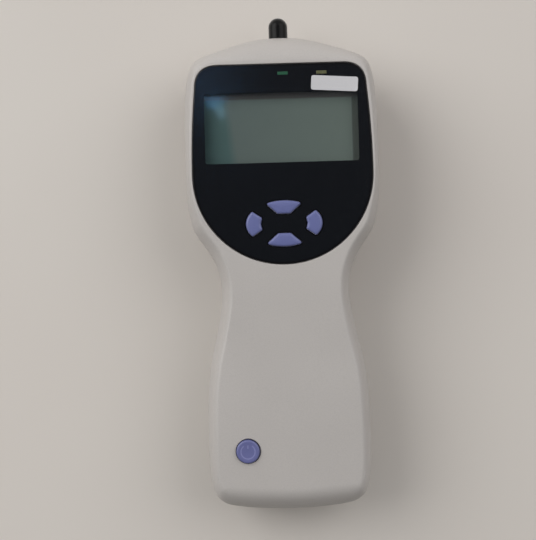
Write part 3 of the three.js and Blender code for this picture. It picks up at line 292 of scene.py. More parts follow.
def combine(target, operation, *shapes):
    """Joins, cuts or crosses the target with the shapes."""
    tool = solid(*shapes)
    step = target.modifiers.new("combine", "BOOLEAN")
    step.operation, step.object, step.solver = operation, tool, "MANIFOLD"
    shaped = target.evaluated_get(bpy.context.evaluated_depsgraph_get())
    mesh = bpy.data.meshes.new_from_object(shaped)
    target.modifiers.clear()
    target.data = mesh
    bpy.data.objects.remove(tool)
    if not len(mesh.polygons):
        raise ValueError(f"nothing was left after {operation}")


def cut(target, *shapes):
    combine(target, "DIFFERENCE", *shapes)


# %% [markdown]
# ## Outline of the casing
# Seen from the front, the casing is a broad head, a waist for the fingers and a flaring foot. The same
# rows as in the drawing give it: a share of the half width and a share of the length from the top. A
# smooth curve is drawn through them, since the real mould has no corners there.

# %% A smooth closed curve through points
def smooth_loop(points, steps):
    """Centripetal curve, which doesn't overshoot where points lie close together."""
    made = []
    count = len(points)
    for i in range(count):
        p = [Vector(points[(i + k) % count]) for k in (-1, 0, 1, 2)]
        t = [0.0]
        for a, b in zip(p, p[1:]):
            t.append(t[-1] + math.sqrt((b - a).length))
        for step in range(steps):
            at = t[1] + (t[2] - t[1]) * step / steps
            level = [(p[k] * (t[k + 1] - at) + p[k + 1] * (at - t[k])) / (t[k + 1] - t[k]) for k in range(3)]
            low = (level[0] * (t[2] - at) + level[1] * (at - t[0])) / (t[2] - t[0])
            high = (level[1] * (t[3] - at) + level[2] * (at - t[1])) / (t[3] - t[1])
            made.append((low * (t[2] - at) + high * (at - t[1])) / (t[2] - t[1]))
    return made


# %% Casing outline in millimetres: its length, and half the width of the waist, the foot and the head
LENGTH, WAIST_HALF, FOOT_HALF = 191.2, 25.9, 33
HEAD_HALF, _, DEPTH = box_mm("front_shell")[1]
FOOT_END = box_mm("front_shell")[0].y
TOP_END = FOOT_END + LENGTH
head_rows = [(0.2, 0.0026), (0.4, 0.0115), (0.62, 0.0262), (0.78, 0.0385), (0.875, 0.0485),
             (0.935, 0.067), (0.985, 0.118), (1, 0.19), (1, 0.285), (0.982, 0.364), (0.925, 0.4095),
             (0.79, 0.451)]
waist_rows = [(1.1, 0.4735), (1.02, 0.507), (1, 0.5385), (1.02, 0.572)]
foot_rows = [(0.868, 0.632), (0.942, 0.688), (0.985, 0.748), (1, 0.83), (0.996, 0.895), (0.965, 0.943),
             (0.9, 0.971), (0.79, 0.986), (0.6, 0.9935), (0.33, 0.998)]
right_side = [(share * half, TOP_END - along * LENGTH)
              for rows, half in ((head_rows, HEAD_HALF), (waist_rows, WAIST_HALF), (foot_rows, FOOT_HALF))
              for share, along in rows]
outline_rows = [(0, FOOT_END), *right_side[::-1], (0, TOP_END), *[(-x, y) for x, y in right_side]]
outline = [Vector((max(-HEAD_HALF, min(HEAD_HALF, p.x)), max(FOOT_END, min(TOP_END, p.y))))
           for p in smooth_loop(outline_rows, 4)]
print("points round the casing:", len(outline))


# %% Outward directions along a closed outline
def outward(points):
    count = len(points)
    made = []
    for i in range(count):
        run = points[(i + 1) % count] - points[i - 1]
        made.append(Vector((run.y, -run.x)).normalized())
    return made


def grown(points, distance):
    return [p + n * distance for p, n in zip(points, outward(points))]


normals = outward(outline)

# %% [markdown]
# ## Outline of the fascia
# The fascia is the black acrylic panel let into the head: a straight top with rounded corners, sides
# that bow out a little, and a half-round lower end that repeats the shoulders of the casing.

# %% Fascia outline in millimetres
fascia_low, fascia_high = box_mm("fascia_panel")
FASCIA_TOP = fascia_high.y
SIDE_GAP = 0.35  # the real panel is this much narrower on each side than the drawn one
FASCIA_RADIUS = fascia_high.x - SIDE_GAP
ARC_CENTRE = fascia_low.y + FASCIA_RADIUS
TAPER, CORNER, RIM = 1.75, 9, 0.8


def bend(start, tip, end, share):
    """A point of the short curve that cuts the corner at the tip."""
    return start.lerp(tip, share).lerp(tip.lerp(end, share), share)


def fascia_outline():
    points = []
    for step in range(73):
        angle = math.pi + math.pi * step / 72
        points.append(Vector((FASCIA_RADIUS * math.cos(angle), ARC_CENTRE + FASCIA_RADIUS * math.sin(angle))))
    top_half, shoulder = FASCIA_RADIUS - TAPER, FASCIA_TOP - CORNER
    side = [Vector((FASCIA_RADIUS - TAPER * (k / 12) ** 2, ARC_CENTRE + (shoulder - ARC_CENTRE) * k / 12))
            for k in range(1, 12)]
    ends = [Vector(p) for p in ((top_half, shoulder), (top_half, FASCIA_TOP),
                                (top_half - CORNER, FASCIA_TOP))]
    right = side + [bend(*ends, k / 12) for k in range(13)]
    return points + right + [Vector((-p.x, p.y)) for p in reversed(right)]


fascia = fascia_outline()
fascia_rim = grown(fascia, RIM)
print("points round the fascia:", len(fascia))

# %% [markdown]
# ## The form of the casing
# From its widest line, halfway up, the casing rounds over to the front and to the back along quarter
# ellipses. The front edge leans in by 5 mm at the sides, 13 mm at the probe end and 11 mm at the foot,
# but never past the rim of the fascia. The handle's front falls away by up to 1.8 mm towards its sides
# and its foot end, which the light shows. The back narrows to the flat that it rests on.

# %% Lean of the flank at each point of the outline
def smoothstep(value, low, high):
    share = max(0, min(1, (value - low) / (high - low)))
    return share * share * (3 - 2 * share)


SIDE_LEAN, TOP_LEAN, FOOT_LEAN = 5, 13, 11
TOP_BLEND, FOOT_BLEND = (12, 24), (5.5, 22)  # distances from both ends over which the lean changes
FAR = 60  # longer than any lean
SMOOTH_TURNS, FOOT_TURNS, FOOT_FROM = 3, 12, -70  # the corners of the foot are smoothed more often


def lean_at(point, normal):
    """How far the front edge stands in from a point of the outline."""
    top_share = 1 - smoothstep(TOP_END - point.y, *TOP_BLEND)
    foot_share = 1 - smoothstep(point.y - FOOT_END, *FOOT_BLEND)
    end_lean = SIDE_LEAN + (TOP_LEAN - SIDE_LEAN) * top_share + (FOOT_LEAN - SIDE_LEAN) * foot_share
    lean = Vector((normal.x * SIDE_LEAN, normal.y * end_lean))
    far = point - lean.normalized() * FAR
    room = lean.length
    for i, rim in enumerate(fascia_rim):
        hit = intersect_line_line_2d(point, far, fascia_rim[i - 1], rim)
        if hit:
            room = min(room, (hit - point).length)
    return lean.normalized() * room


leans = [lean_at(p, n) for p, n in zip(outline, normals)]
for turn in range(FOOT_TURNS):
    leans = [(leans[i - 1] + lean * 2 + leans[(i + 1) % len(leans)]) / 4
             if turn < SMOOTH_TURNS or outline[i].y < FOOT_FROM else lean for i, lean in enumerate(leans)]

# %% Rings of the casing at any height
WIDEST, MIDDLE_Y, CROWN = 20, -4.2, 1.8
SAG_STARTS, SAG_FULL = -4, -40  # where the fall to the sides starts, and where it is full
BACK_NARROWS, BACK_SHORTENS = 0.53, 0.12  # shares of the half width and of the length


def sag_across(p):
    """The handle's front falls away to both sides, from the fascia's end downwards."""
    return (p.x / FOOT_HALF) ** 2 * (1 - smoothstep(p.y, SAG_FULL, SAG_STARTS))


def sag_along(p):
    """From there on it also falls away towards the foot end."""
    return max(0, (SAG_FULL - p.y) / (SAG_FULL - FOOT_END)) ** 2


def ring_at(height, inset=0.0, back=0.0, front=DEPTH, crown=0.0):
    """The casing's section at a height, drawn in by inset. The handle's front edge is lower by the crown."""
    made = []
    below = height < WIDEST
    rise = (WIDEST - height) / (WIDEST - back) if below else (height - WIDEST) / (front - WIDEST)
    share = 1 - math.sqrt(max(0, 1 - rise * rise))
    for point, normal, lean in zip(outline, normals, leans):
        p = point - normal * inset
        if below:
            p = Vector((p.x * (1 - BACK_NARROWS * share),
                        MIDDLE_Y + (p.y - MIDDLE_Y) * (1 - BACK_SHORTENS * share)))
        else:
            p = p - lean * share
        drop = 0 if below else crown * rise ** 4 * (sag_across(p) + sag_along(p))
        made.append((p.x, p.y, height - drop))
    return made


def crowned_front(edge_ring):
    """Rings that climb from the front edge to the middle line of the front."""
    made = []
    for share in (0.94, 0.88, 0.8, 0.7, 0.6, 0.5, 0.4, 0.3, 0.2, 0.1, 0):
        ring = [Vector((x * share, MIDDLE_Y + (y - MIDDLE_Y) * (0.85 + 0.15 * share)))
                for x, y, _ in edge_ring]
        made.append([(p.x, p.y, DEPTH - CROWN * (sag_across(p) + sag_along(p))) for p in ring])
    return made


def quarter(steps):
    """Angles from nothing to a right angle."""
    return [math.pi / 2 * k / steps for k in range(steps + 1)]


def levels(start, end, steps):
    """Heights from the widest line to an end, evenly spaced round a quarter ellipse."""
    return [start + (end - start) * math.sin(angle) for angle in quarter(steps)]


WALL, CEILING = 2.2, 37  # thickness of both shells, and how high the hollow of the front shell reaches


def whole_form(inset, back, front=CEILING):
    """The casing as one closed form, drawn in by inset."""
    heights = levels(WIDEST, back, 12)[::-1] + levels(WIDEST, front, 12)[1:]
    return loft([ring_at(h, inset, back, front) for h in heights])


# %% [markdown]
# ## Holes through the front
# The navigation keys are four pieces of an oval ring, and the power key is round. Each hole is grown
# from its key's outline by 0.3 mm. An outline is rounded by cutting each corner with a short curve.

# %% Rounded outlines
LEAST_TURN = 0.5  # in radians: a flatter corner stays as it is


def rounded(corners, radius):
    corners, points = [Vector(corner) for corner in corners], []
    for i, tip in enumerate(corners):
        into = tip - corners[i - 1]
        out = corners[(i + 1) % len(corners)] - tip
        turn = abs(into.angle_signed(out))
        if turn < LEAST_TURN:
            points.append(tip)
            continue
        reach = radius * math.tan(turn / 2)
        start, end = tip - into.normalized() * reach, tip + out.normalized() * reach
        points += [bend(start, tip, end, k / 6) for k in range(7)]
    return points


def rectangle(x, y, width, length, radius):
    signs = ((-1, -1), (1, -1), (1, 1), (-1, 1))
    return rounded([(x + a * width / 2, y + b * length / 2) for a, b in signs], radius)


def plan_of(node, radius, margin=0.0):
    """A solid's outline seen from the front, grown by a margin."""
    low, high = box_mm(node)
    middle, size = (low + high) / 2, high - low
    return rectangle(middle.x, middle.y, size.x + 2 * margin, size.y + 2 * margin, radius)


def circle(x, y, radius):
    return [Vector((x + radius * math.cos(math.pi * k / 32), y + radius * math.sin(math.pi * k / 32)))
            for k in range(64)]


def placed(points, x, y, turn=0.0):
    spun = Matrix.Rotation(turn, 2)
    return [spun @ p + Vector((x, y)) for p in points]


# %% Key outlines in millimetres
PAD_HALF_WIDTH, PAD_HALF_LENGTH, KEY_GAP, FLANGE = 15, 9, 0.3, 0.8


def oval_arc(start, end):
    """Part of the oval, with a longer step at both ends that leaves room for the rounded corners."""
    shares = [0] + [0.16 + 0.68 * k / 12 for k in range(13)] + [1]
    return [Vector((PAD_HALF_WIDTH * math.cos(a), PAD_HALF_LENGTH * math.sin(a)))
            for a in (math.radians(start + (end - start) * share) for share in shares)]


end_key = rounded([(2.45, 3.8), *oval_arc(61.5, 118.5), (-2.45, 3.8)], 0.8)
side_key = rounded([(8.6, -2.3), *oval_arc(-33.5, 33.5), (8.6, 2.3), (9.2, 0)], 0.8)
KEYS_LOWER = 0.15  # the real keys sit this much lower than the drawn ones
PAD_Y = (middle_mm("key_up").y + middle_mm("key_down").y) / 2 - KEYS_LOWER
power_low, power_high = box_mm("key_power")
power_x, power_y, _ = middle_mm("key_power")
power_radius = (power_high.x - power_low.x) / 2 - FLANGE
key_plans = {
    "up": (placed(end_key, 0, PAD_Y), (0, PAD_Y + 6.4)),
    "down": (placed(end_key, 0, PAD_Y, math.pi), (0, PAD_Y - 6.4)),
    "left": (placed(side_key, 0, PAD_Y, math.pi), (-12.1, PAD_Y)),
    "right": (placed(side_key, 0, PAD_Y), (12.1, PAD_Y)),
    "power": (circle(power_x, power_y, power_radius), (power_x, power_y)),
}
pad_plans = [points for name, (points, _) in key_plans.items() if name != "power"]
print("keys:", sorted(key_plans))


# %% Straight-sided tools, some with a flared end that rounds the edge they cut
def flat_ring(points, height):
    return [(p.x, p.y, height) for p in points]


def stepped(points, rows):
    """A form over an outline. Each row says how far the outline is grown, and at which height."""
    return loft([flat_ring(grown(points, distance), height) for distance, height in rows])


def punch(points, z0, z1):
    return loft([flat_ring(points, z0), flat_ring(points, z1)])


def flared(points, z0, surface, radius):
    """A punch that opens out along a quarter round just below the surface."""
    rows = [(radius * (1 - math.cos(a)), surface - radius + radius * math.sin(a)) for a in quarter(5)]
    return stepped(points, [(0, z0), *rows, (radius, surface + 1)])


# %% [markdown]
# ## Front shell
# The front shell is a lofted outside, less a lofted inside that leaves a 2.2 mm wall, less its openings.
# Its lower edge is chamfered, because a joint between mouldings shows as a fine dark line with soft
# edges. The lip behind the joint keeps dust out.

# %% Outside and wall of the front shell
FRONT_EDGE, REAR_EDGE = 18.65, 18.35  # where the shells face each other across the joint
edge_rows = ((0, 0.28), (0.07, 0.12), (0.25, 0.03), (0.5, 0))
front_rings = [ring_at(FRONT_EDGE + up, inset) for up, inset in edge_rows]
front_rings += [ring_at(h, crown=CROWN) for h in levels(WIDEST, DEPTH, 22)]
front = solid(loft(front_rings + crowned_front(front_rings[-1])))
cut(front, whole_form(WALL, WALL))

# %% Lip, screw bosses and board posts; each row of the lip is a height and an inset
lip_rows = [(16.7, 2.7), (16.9, 2.5), (18.8, 2.5), (18.8, 1.4), (20.5, 1.4), (20.5, 3.5), (16.9, 3.5),
            (16.7, 3.3)]
lip = solid(loft([ring_at(h, inset, WALL, CEILING) for h, inset in lip_rows], ring_closed=True))
PROBE_Z = middle_mm("probe_cap").z
cut(lip, turned([(0, 80), (6.1, 80), (6.1, 92), (0, 92)], z=PROBE_Z))  # the probe passes here
combine(front, "UNION", lip)
screw_places = [middle_mm(f"casing_screw_{number}").xy for number in (1, 2, 3, 4)]
post_places = [(-24, 29.8), (24, 29.8), (-13.99, -12.6), (13.99, -12.6), (-13.99, -58.3), (13.99, -58.3)]
POCKET_FLOOR = 38.4
BOSS, POST = (3.2, 18.8, 37.3), (2, 31.6, POCKET_FLOOR)  # radius, lowest and highest place
PILOT, REAR_BOSS, SHANK = (1.6, 17, 27), (4.3, 0, 18.2), (1.7, 5, 20)
combine(front, "UNION", *pins(screw_places, *BOSS), *pins(post_places, *POST))

# %% Pocket for the fascia, with its rounded rim, and the openings behind it
cut(front, flared(grown(fascia, 0.3), POCKET_FLOOR, DEPTH, 0.2))


def openings(z0, z1, window_gap, pipe_gap):
    """Punches for the window, the indicators and the navigation keys."""
    plans = [plan_of("display_window", 1.2, window_gap)]
    plans += [plan_of(f"{name}_light_pipe", 0.2, pipe_gap) for name in ("green", "yellow")]
    return [punch(points, z0, z1) for points in plans + [grown(points, KEY_GAP) for points in pad_plans]]


cut(front, *openings(35, 39, 1.5, 0.3))

# %% Power key hole, screw pilots, probe hole and infrared opening
pane_low, pane_high = box_mm("infrared_window")


def foot_block(inset, edge):
    """A block through the foot end, smaller by an inset than the infrared window with its flange."""
    return block((pane_low.x + inset, pane_high.x - inset), (FOOT_END - 2.8, FOOT_END + 7),
                 (pane_low.z + inset, pane_high.z - inset), edge)


probe_hole = [(0, TOP_END - 8), (4.3, TOP_END - 8), (4.3, TOP_END - 0.8), (4.5, TOP_END - 0.35),
              (4.8, TOP_END), (4.8, TOP_END + 4), (0, TOP_END + 4)]
cut(front, flared(grown(key_plans["power"][0], KEY_GAP), 35, 39.05, 0.35),
    *pins(screw_places, *PILOT), turned(probe_hole, z=PROBE_Z), foot_block(0.7, 0.3))
front_shell = finish_piece("front_shell_moulding", front, casing_abs, "casing", "casing_plastic",
                           "front_shell")
print("front shell triangles:", sum(len(p.vertices) - 2 for p in front_shell.data.polygons))

# %% [markdown]
# ## Rear shell
# The rear shell is made the same way, turned over. It carries the battery bay, the sinks for the screws
# and the lower half of the probe's hole. The bay is one block, joined to the wall and then hollowed, and
# the door's opening goes through the back.

# %% Outside and wall of the rear shell, with the block for its battery bay
rear_rings = [ring_at(h) for h in levels(WIDEST, 0, 22)[:1:-1]]
rear_rings += [ring_at(REAR_EDGE - down, inset) for down, inset in ((0.25, 0), (0.1, 0.08), (0, 0.28))]
rear = solid(loft(rear_rings))
BAY_HALF, BAY_FOOT, BAY_HEAD, BAY_WALL = 14.95, -90.2, 16.3, 1.2
bay = solid(block((-BAY_HALF - BAY_WALL, BAY_HALF + BAY_WALL), (BAY_FOOT - BAY_WALL, BAY_HEAD + BAY_WALL),
                  (WALL / 2, 18.3)))
combine(bay, "INTERSECT", whole_form(WALL / 2, WALL / 2))
cut(rear, whole_form(WALL, WALL))
combine(rear, "UNION", bay)

# %% Screw bosses that end inside the back
bosses = solid(*pins(screw_places, *REAR_BOSS))
combine(bosses, "INTERSECT", whole_form(0.4, 0.4))
combine(rear, "UNION", bosses)

# %% Bay, door opening, sinks and probe hole
DOOR_Y, DOOR_WIDTH, DOOR_LENGTH = -37.35, 29.3, 102.7
cut(rear, block((-BAY_HALF, BAY_HALF), (BAY_FOOT, BAY_HEAD), (WALL, 17.55), 0.3))
door_opening = rectangle(0, DOOR_Y - 0.05, DOOR_WIDTH + 0.6, DOOR_LENGTH + 0.9, 0.6)
cut(rear, punch(door_opening, -2, 4))
sinks = [turned([(0, 11), (2.9, 11), (2.9, 2), (3.0, -2), (0, -2)], "Z", x, y) for x, y in screw_places]
cut(rear, *sinks, turned(probe_hole, z=PROBE_Z))
cut(rear, *pins(screw_places, *SHANK))
rear_shell = finish_piece("rear_shell_moulding", rear, casing_abs, "casing", "casing_plastic", "rear_shell")
print("rear shell triangles:", sum(len(p.vertices) - 2 for p in rear_shell.data.polygons))

# %% [markdown]
# ## Battery door
# The door follows the curve of the back, a quarter of a millimetre inside it. Three hooks hold its head
# edge and a springy latch its foot edge. Grooves and an arrow near the latch show the thumb where to push.

# %% Door panel that follows the back
DOOR_SINK = 0.25
door = solid(whole_form(DOOR_SINK, DOOR_SINK))
door_plan = rectangle(0, DOOR_Y, DOOR_WIDTH, DOOR_LENGTH, 0.5)
door_rows = ((-0.3, -1), (-0.3, DOOR_SINK), (-0.12, 0.33), (0, 0.55), (0, DOOR_SINK + WALL))
combine(door, "INTERSECT", stepped(door_plan, door_rows))
grooves = [block((-6.5, 6.5), (y - 0.4, y + 0.4), (-1, 0.62), 0.18) for y in range(-72, -84, -2)]
arrow = punch(rounded([(-2.6, -66.4), (0, -69.4), (2.6, -66.4)], 0.3), -1, 0.5)
cut(door, *grooves, arrow)

# %% Hooks, each a foot and a tongue, and the latch
hooks = ((-13.45, 2.4), (0, 4), (13.45, 2.4))  # places and widths
for y, z, edge in (((11, 14), (2.2, 3.6), 0.1), ((11.2, 16.2), (2.5, 3.58), 0.12)):
    combine(door, "UNION", *[block((x - width / 2, x + width / 2), y, z, edge) for x, width in hooks])
combine(door, "UNION", block((-1.5, 1.5), (-88.7, -87.7), (2.2, 5.05), 0.12))
battery_door = finish_piece("battery_door_moulding", door, door_abs, "battery_door", "casing_plastic",
                            "battery_door")
print("door box in mm:", [round(v * 1000, 2) for v in battery_door.dimensions])

# %% [markdown]
# ## Metal finishes
# The screws are steel with a dull zinc coat, and the ends of the cells are drawn nickel-plated steel. A
# metal's colour is its reflection, so the base colour is its hue, metallic is 1 and the IOR stays at its
# default. Fine streaks in the roughness stand for drawing and handling marks.

# %% Drawn and plated metals
def metal(name, colour, roughness, streak=(1, 1, 1), mark=0.6):
    made, tree, shader, place = start_material(name, Base_Color=linear(colour), Metallic=1.0)
    laid = add_node(tree, "Mapping", Vector=place, Scale=streak)
    marks = add_node(tree, "TexNoise", Vector=laid, Scale=per_mm(mark), Detail=4)
    rough = add_node(tree, "MapRange", Value=marks, From_Min=0.3, From_Max=0.7, To_Min=roughness - 0.06,
                     To_Max=roughness + 0.1)
    bump = add_node(tree, "Bump", Height=marks, Strength=0.15, Distance=0.00002)
    feed(tree, shader, Roughness=rough, Normal=bump)
    return made


zinc_steel = metal("zinc-coated steel", "#B9BBBC", 0.32)
nickel_steel = metal("nickel-plated steel, drawn", "#C9C4BA", 0.22, streak=(1, 0.15, 1))
turned_brass = metal("turned brass", "#C8A45A", 0.28, mark=0.3)

# %% Casing screws: a pan head with a cross recess
for number, (x, y) in enumerate(screw_places, 1):
    screw = solid(turned([(0, 9.1), (1.5, 9.13), (2.1, 9.3), (2.42, 9.7), (2.5, 10.2), (2.5, 10.8),
                          (2.4, 10.9), (1.3, 10.9), (1.3, 24.8), (0.7, 26), (0, 26)], "Z", x, y))
    for turn in (0, math.pi / 2):
        slot_cut = block((-1.8, 1.8), (-0.38, 0.38), (8, 10))
        bmesh.ops.transform(slot_cut, matrix=Matrix.Translation((x, y, 0)) @ Matrix.Rotation(turn, 4, "Z"),
                            verts=slot_cut.verts)
        cut(screw, slot_cut)
    finish_piece(f"pan_head_screw_{number}", screw, zinc_steel, "casing", "steel", f"casing_screw_{number}")
print("screws:", len(screw_places))

# %% [markdown]
# ## Fascia
# The fascia is 1.2 mm cast acrylic, printed black behind, so its front is a deep gloss. The display
# window is the same sheet without print, and here it is a piece of its own. Gloss black shows dust and
# fine wiping marks, which sit in the roughness.

# %% Black-printed acrylic
def gloss_plastic(name, colour, roughness, mark=2.5, haze=0.04, bump_strength=0.0, **inputs):
    made, tree, shader, place = start_material(name, Base_Color=linear(colour), **inputs)
    marks = add_node(tree, "TexNoise", Vector=place, Scale=per_mm(mark), Detail=5, Roughness=0.65)
    rough = add_node(tree, "MapRange", Value=marks, From_Min=0.35, From_Max=0.75, To_Min=roughness,
                     To_Max=roughness + haze)
    feed(tree, shader, Roughness=rough)
    if bump_strength:
        bump = add_node(tree, "Bump", Height=marks, Strength=bump_strength, Distance=0.0002)
        feed(tree, shader, Normal=bump)
    return made


black_acrylic = gloss_plastic("cast acrylic, printed black behind", "#0D0D10", 0.16, IOR=1.49)

# %% Fascia with its openings
BACK, FRONT = fascia_low.z, fascia_high.z
sheet_rows = ((0, BACK), (0, FRONT - 0.14), (-0.04, FRONT - 0.05), (-0.14, FRONT))
fascia_sheet = solid(stepped(fascia, sheet_rows))
cut(fascia_sheet, *openings(38, 41, 0.02, 0.05))
finish_piece("fascia_acrylic", fascia_sheet, black_acrylic, "casing", "black_acrylic", "fascia_panel")

# %% [markdown]
# ## Display
# Behind the window lies an unlit reflective display: glass over a grey-green polariser. Painted into its
# colour are a teal reflection towards the left and bands of painted shade along the top and right, where
# the window's edge shades it. The clear acrylic pane is see-through by alpha, which keeps the display's
# own colour clean.

# %% Clear acrylic pane
clear_acrylic = gloss_plastic("cast acrylic, clear", "#101614", 0.03, haze=0.03, IOR=1.49, Alpha=0.1)
finish_piece("display_pane", punch(plan_of("display_window", 1.2), BACK, FRONT), clear_acrylic, "casing",
             "clear_acrylic", "display_window")

# %% Display glass with its polariser, a painted reflection on the left and painted shade along the top and right, placed in metres
display_glass, tree, shader, place = start_material("liquid crystal glass, grey-green polariser", IOR=1.52,
                                                    Roughness=0.05)
axes = add_node(tree, "SeparateXYZ", Vector=place)
slow = add_node(tree, "TexNoise", Vector=place, Scale=per_mm(24), Detail=1)
# The ramp over this slant is a painted reflection: teal towards the left of the display, paler grey-green
# towards the right.
slant = add_node(tree, "Math", {"operation": "MULTIPLY_ADD"}, n0=axes.outputs["Y"], n1=0.12,
                 n2=axes.outputs["X"])
cast = add_node(tree, "MapRange", Value=slant, From_Min=-0.025, From_Max=0.035)
shift = add_node(tree, "Math", {"operation": "MULTIPLY_ADD"}, n0=slow, n1=0.05, n2=cast)
field = add_node(tree, "ValToRGB", Fac=shift, stops=[
    (0.02, "#5F7C7B"), (0.17, "#6A8987"), (0.23, "#869692"), (0.6, "#8C9C96"), (1, "#93A39B")])
# The bands along the right and the top are painted shade, where the window's edge shades the display.
for axis, start, end, painted_shade in (("X", 0.0277, 0.0282, "#737B75"), ("Y", 0.0639, 0.0645, "#777675")):
    edge = add_node(tree, "MapRange", Value=axes.outputs[axis], From_Min=start, From_Max=end)
    field = add_node(tree, "Mix", {"data_type": "RGBA"}, n0=edge, n6=field, n7=linear(painted_shade)).outputs[2]
pixel = add_node(tree, "TexChecker", Vector=place, Scale=per_mm(0.45) / 2).outputs["Fac"]
bump = add_node(tree, "Bump", Height=pixel, Strength=0.05, Distance=0.00002)
feed(tree, shader, Base_Color=field, Normal=bump)
finish_piece("display_glass", block_of("lcd_glass", 0.15), display_glass, "casing", "display_glass",
             "lcd_glass")

# %% [markdown]
# ## Indicators
# A short light pipe carries each lamp's light up to the fascia. Unlit, the tinted acrylic shows only a
# dull green and a dull olive yellow.

# %% Tinted light pipes
pipe_green = gloss_plastic("tinted acrylic, green", "#2F6349", 0.25, IOR=1.49)
pipe_yellow = gloss_plastic("tinted acrylic, yellow", "#6E6F4E", 0.25, IOR=1.49)
for name, tint in (("green", pipe_green), ("yellow", pipe_yellow)):
    finish_piece(f"{name}_pipe", block_of(f"{name}_light_pipe", 0.15), tint, "casing", f"{name}_plastic",
                 f"{name}_light_pipe")

# %% [markdown]
# ## Protective film and pull tab
# A thin film still covers the fascia, as when new. It clings with small ripples, which break up the
# reflections. On it sits a white pull tab of coated paper, one end of it a little lifted.

# %% Film and tab
clear_film = gloss_plastic("polyethylene film, clear", "#2A3038", 0.14, mark=7, haze=0.1, bump_strength=0.1,
                           IOR=1.5, Alpha=0.08)
film_low, film_high = box_mm("protective_film")
film = solid(punch(grown(fascia, -0.8), film_low.z, film_high.z))
cut(film, *[punch(grown(points, 2 * KEY_GAP), 39, 41) for points in pad_plans])
finish_piece("peelable_film", film, clear_film, "casing", "clear_film", "protective_film")
tab_paper = moulded_abs("coated paper, white", "#C9C9CC", "#C2C2C6", roughness=0.5, grain=0.3)
LIFT_FROM = 27
tab_x, tab_y, _ = middle_mm("peel_tab")
tab_low, tab_high = box_mm("peel_tab")
tab_plan = placed(rectangle(0, 0, 18.3, 5.7, 1.0), tab_x, tab_y, math.radians(-3.8))
tab = punch(tab_plan, tab_low.z, tab_high.z)
for across in (LIFT_FROM, LIFT_FROM + 2):
    bmesh.ops.bisect_plane(tab, geom=list(tab.verts) + list(tab.edges) + list(tab.faces),
                           plane_co=(across, 0, 0), plane_no=(1, 0, 0))
for vert in tab.verts:
    vert.co.z += 0.03 * max(0, vert.co.x - LIFT_FROM) ** 1.6
finish_piece("pull_tab", tab, tab_paper, "casing", "white_label", "peel_tab")

# %% [markdown]
# ## Keys
# Each key is moulded in lilac elastomer with a satin skin. Its sides stand straight up, its top edge is
# rounded, and its top is slightly crowned, or dished on the power key. Round its foot runs the flange
# that keeps it in, and a short stem below it presses the switch.

# %% Satin elastomer for the keys
key_skin = moulded_abs("moulded elastomer, lilac", "#656CA0", "#61689B", roughness=0.4, grain=0.35,
                       depth=0.03, Sheen_Weight=0.6, Sheen_Roughness=0.35)
power_skin = moulded_abs("moulded elastomer, deep lilac", "#666A9B", "#626697", roughness=0.42, grain=0.35,
                         depth=0.03)


# %% Key body: straight sides, rounded edge, crowned or dished top
FLANGE_LOW, FLANGE_TOP = 35.9, 36.7


def key_rings(points, middle, top, across, down, crown):
    """The edge is a quarter ellipse, which reaches across the top and down the side."""
    rows = [(FLANGE, FLANGE_LOW), (FLANGE, FLANGE_TOP), (0, FLANGE_TOP)]
    rows += [(-across * (1 - math.cos(a)), top - down + down * math.sin(a)) for a in quarter(6)]
    rings = [flat_ring(grown(points, distance), height) for distance, height in rows]
    centre, edge = Vector(middle), grown(points, -across)
    for share in (0.85, 0.6, 0.3, 0):
        rings.append(flat_ring([centre + (p - centre) * share for p in edge], top + crown * (1 - share ** 2)))
    return rings


for name, (points, middle) in key_plans.items():
    if name == "power":
        skin, rings = power_skin, key_rings(points, middle, top=40.1, across=0.8, down=0.55, crown=-0.22)
    else:
        skin, rings = key_skin, key_rings(points, middle, top=40.52, across=1.1, down=0.7, crown=0.08)
    key = solid(loft(rings))
    combine(key, "UNION", *pins([middle], 1.5, 35.7, 36.3))
    finish_piece(f"{name}_key_cap", key, skin, f"key_{name}", "key_plastic", f"key_{name}")
print("key caps:", len(key_plans))

# %% [markdown]
# ## Power sign
# The power key carries the usual sign, a broken ring with a bar, printed a shade lighter than the key.
# The ring is a small section spun most of the way round, and the bar is a thin block.

# %% Printed power sign on its key: an open ring of 290 degrees, and a bar up through the gap
SIGN_BACK = 39.8
sign = bmesh.new()
section = [bmesh.ops.create_vert(sign, co=(across, 0, up))["vert"][0]
           for across, up in ((2.55, SIGN_BACK), (3.0, SIGN_BACK), (3.0, 40.02), (2.55, 40.0))]
face = sign.faces.new(section)
bmesh.ops.rotate(sign, matrix=Matrix.Rotation(math.radians(125), 3, "Z"), verts=sign.verts)
bmesh.ops.spin(sign, geom=[face] + list(face.edges) + list(face.verts), axis=(0, 0, 1),
               angle=math.radians(290), steps=48)
bmesh.ops.recalc_face_normals(sign, faces=sign.faces)
bmesh.ops.translate(sign, vec=(power_x, power_y, 0), verts=sign.verts)
sign_ink = gloss_plastic("printed ink, pale lilac", "#7D7FAE", 0.4, IOR=1.5)
power_sign = solid(sign, block((power_x - 0.24, power_x + 0.24), (power_y + 1.2, power_y + 3.5),
                               (39.7, 39.98), 0.02))
finish_piece("power_sign", power_sign, sign_ink, "key_power", "key_plastic")

# %% [markdown]
# ## Ear probe
# At the top end a short nose cone holds the soft probe tip, and a black rubber cap protects them until
# use. All of them are turned forms: a profile spun round the probe's own line.

# %% Cap over the probe
cap_rubber = gloss_plastic("moulded rubber, black with a faint bloom", "#050506", 0.28, mark=1.2, haze=0.08,
                           IOR=1.52, Specular_IOR_Level=0.13, Sheen_Weight=1.0, Sheen_Roughness=0.35)
cap_low, cap_high = box_mm("probe_cap")
CAP_RADIUS, MOUTH = cap_high.x, cap_low.y
CAP_BORE, MOUTH_EDGE = CAP_RADIUS - 0.8, 0.15


def dome(radius):
    centre = cap_high.y - CAP_RADIUS
    rows = [(radius * math.cos(a), centre + radius * math.sin(a)) for a in quarter(16)]
    return rows[:-1] + [(0, centre + radius)]


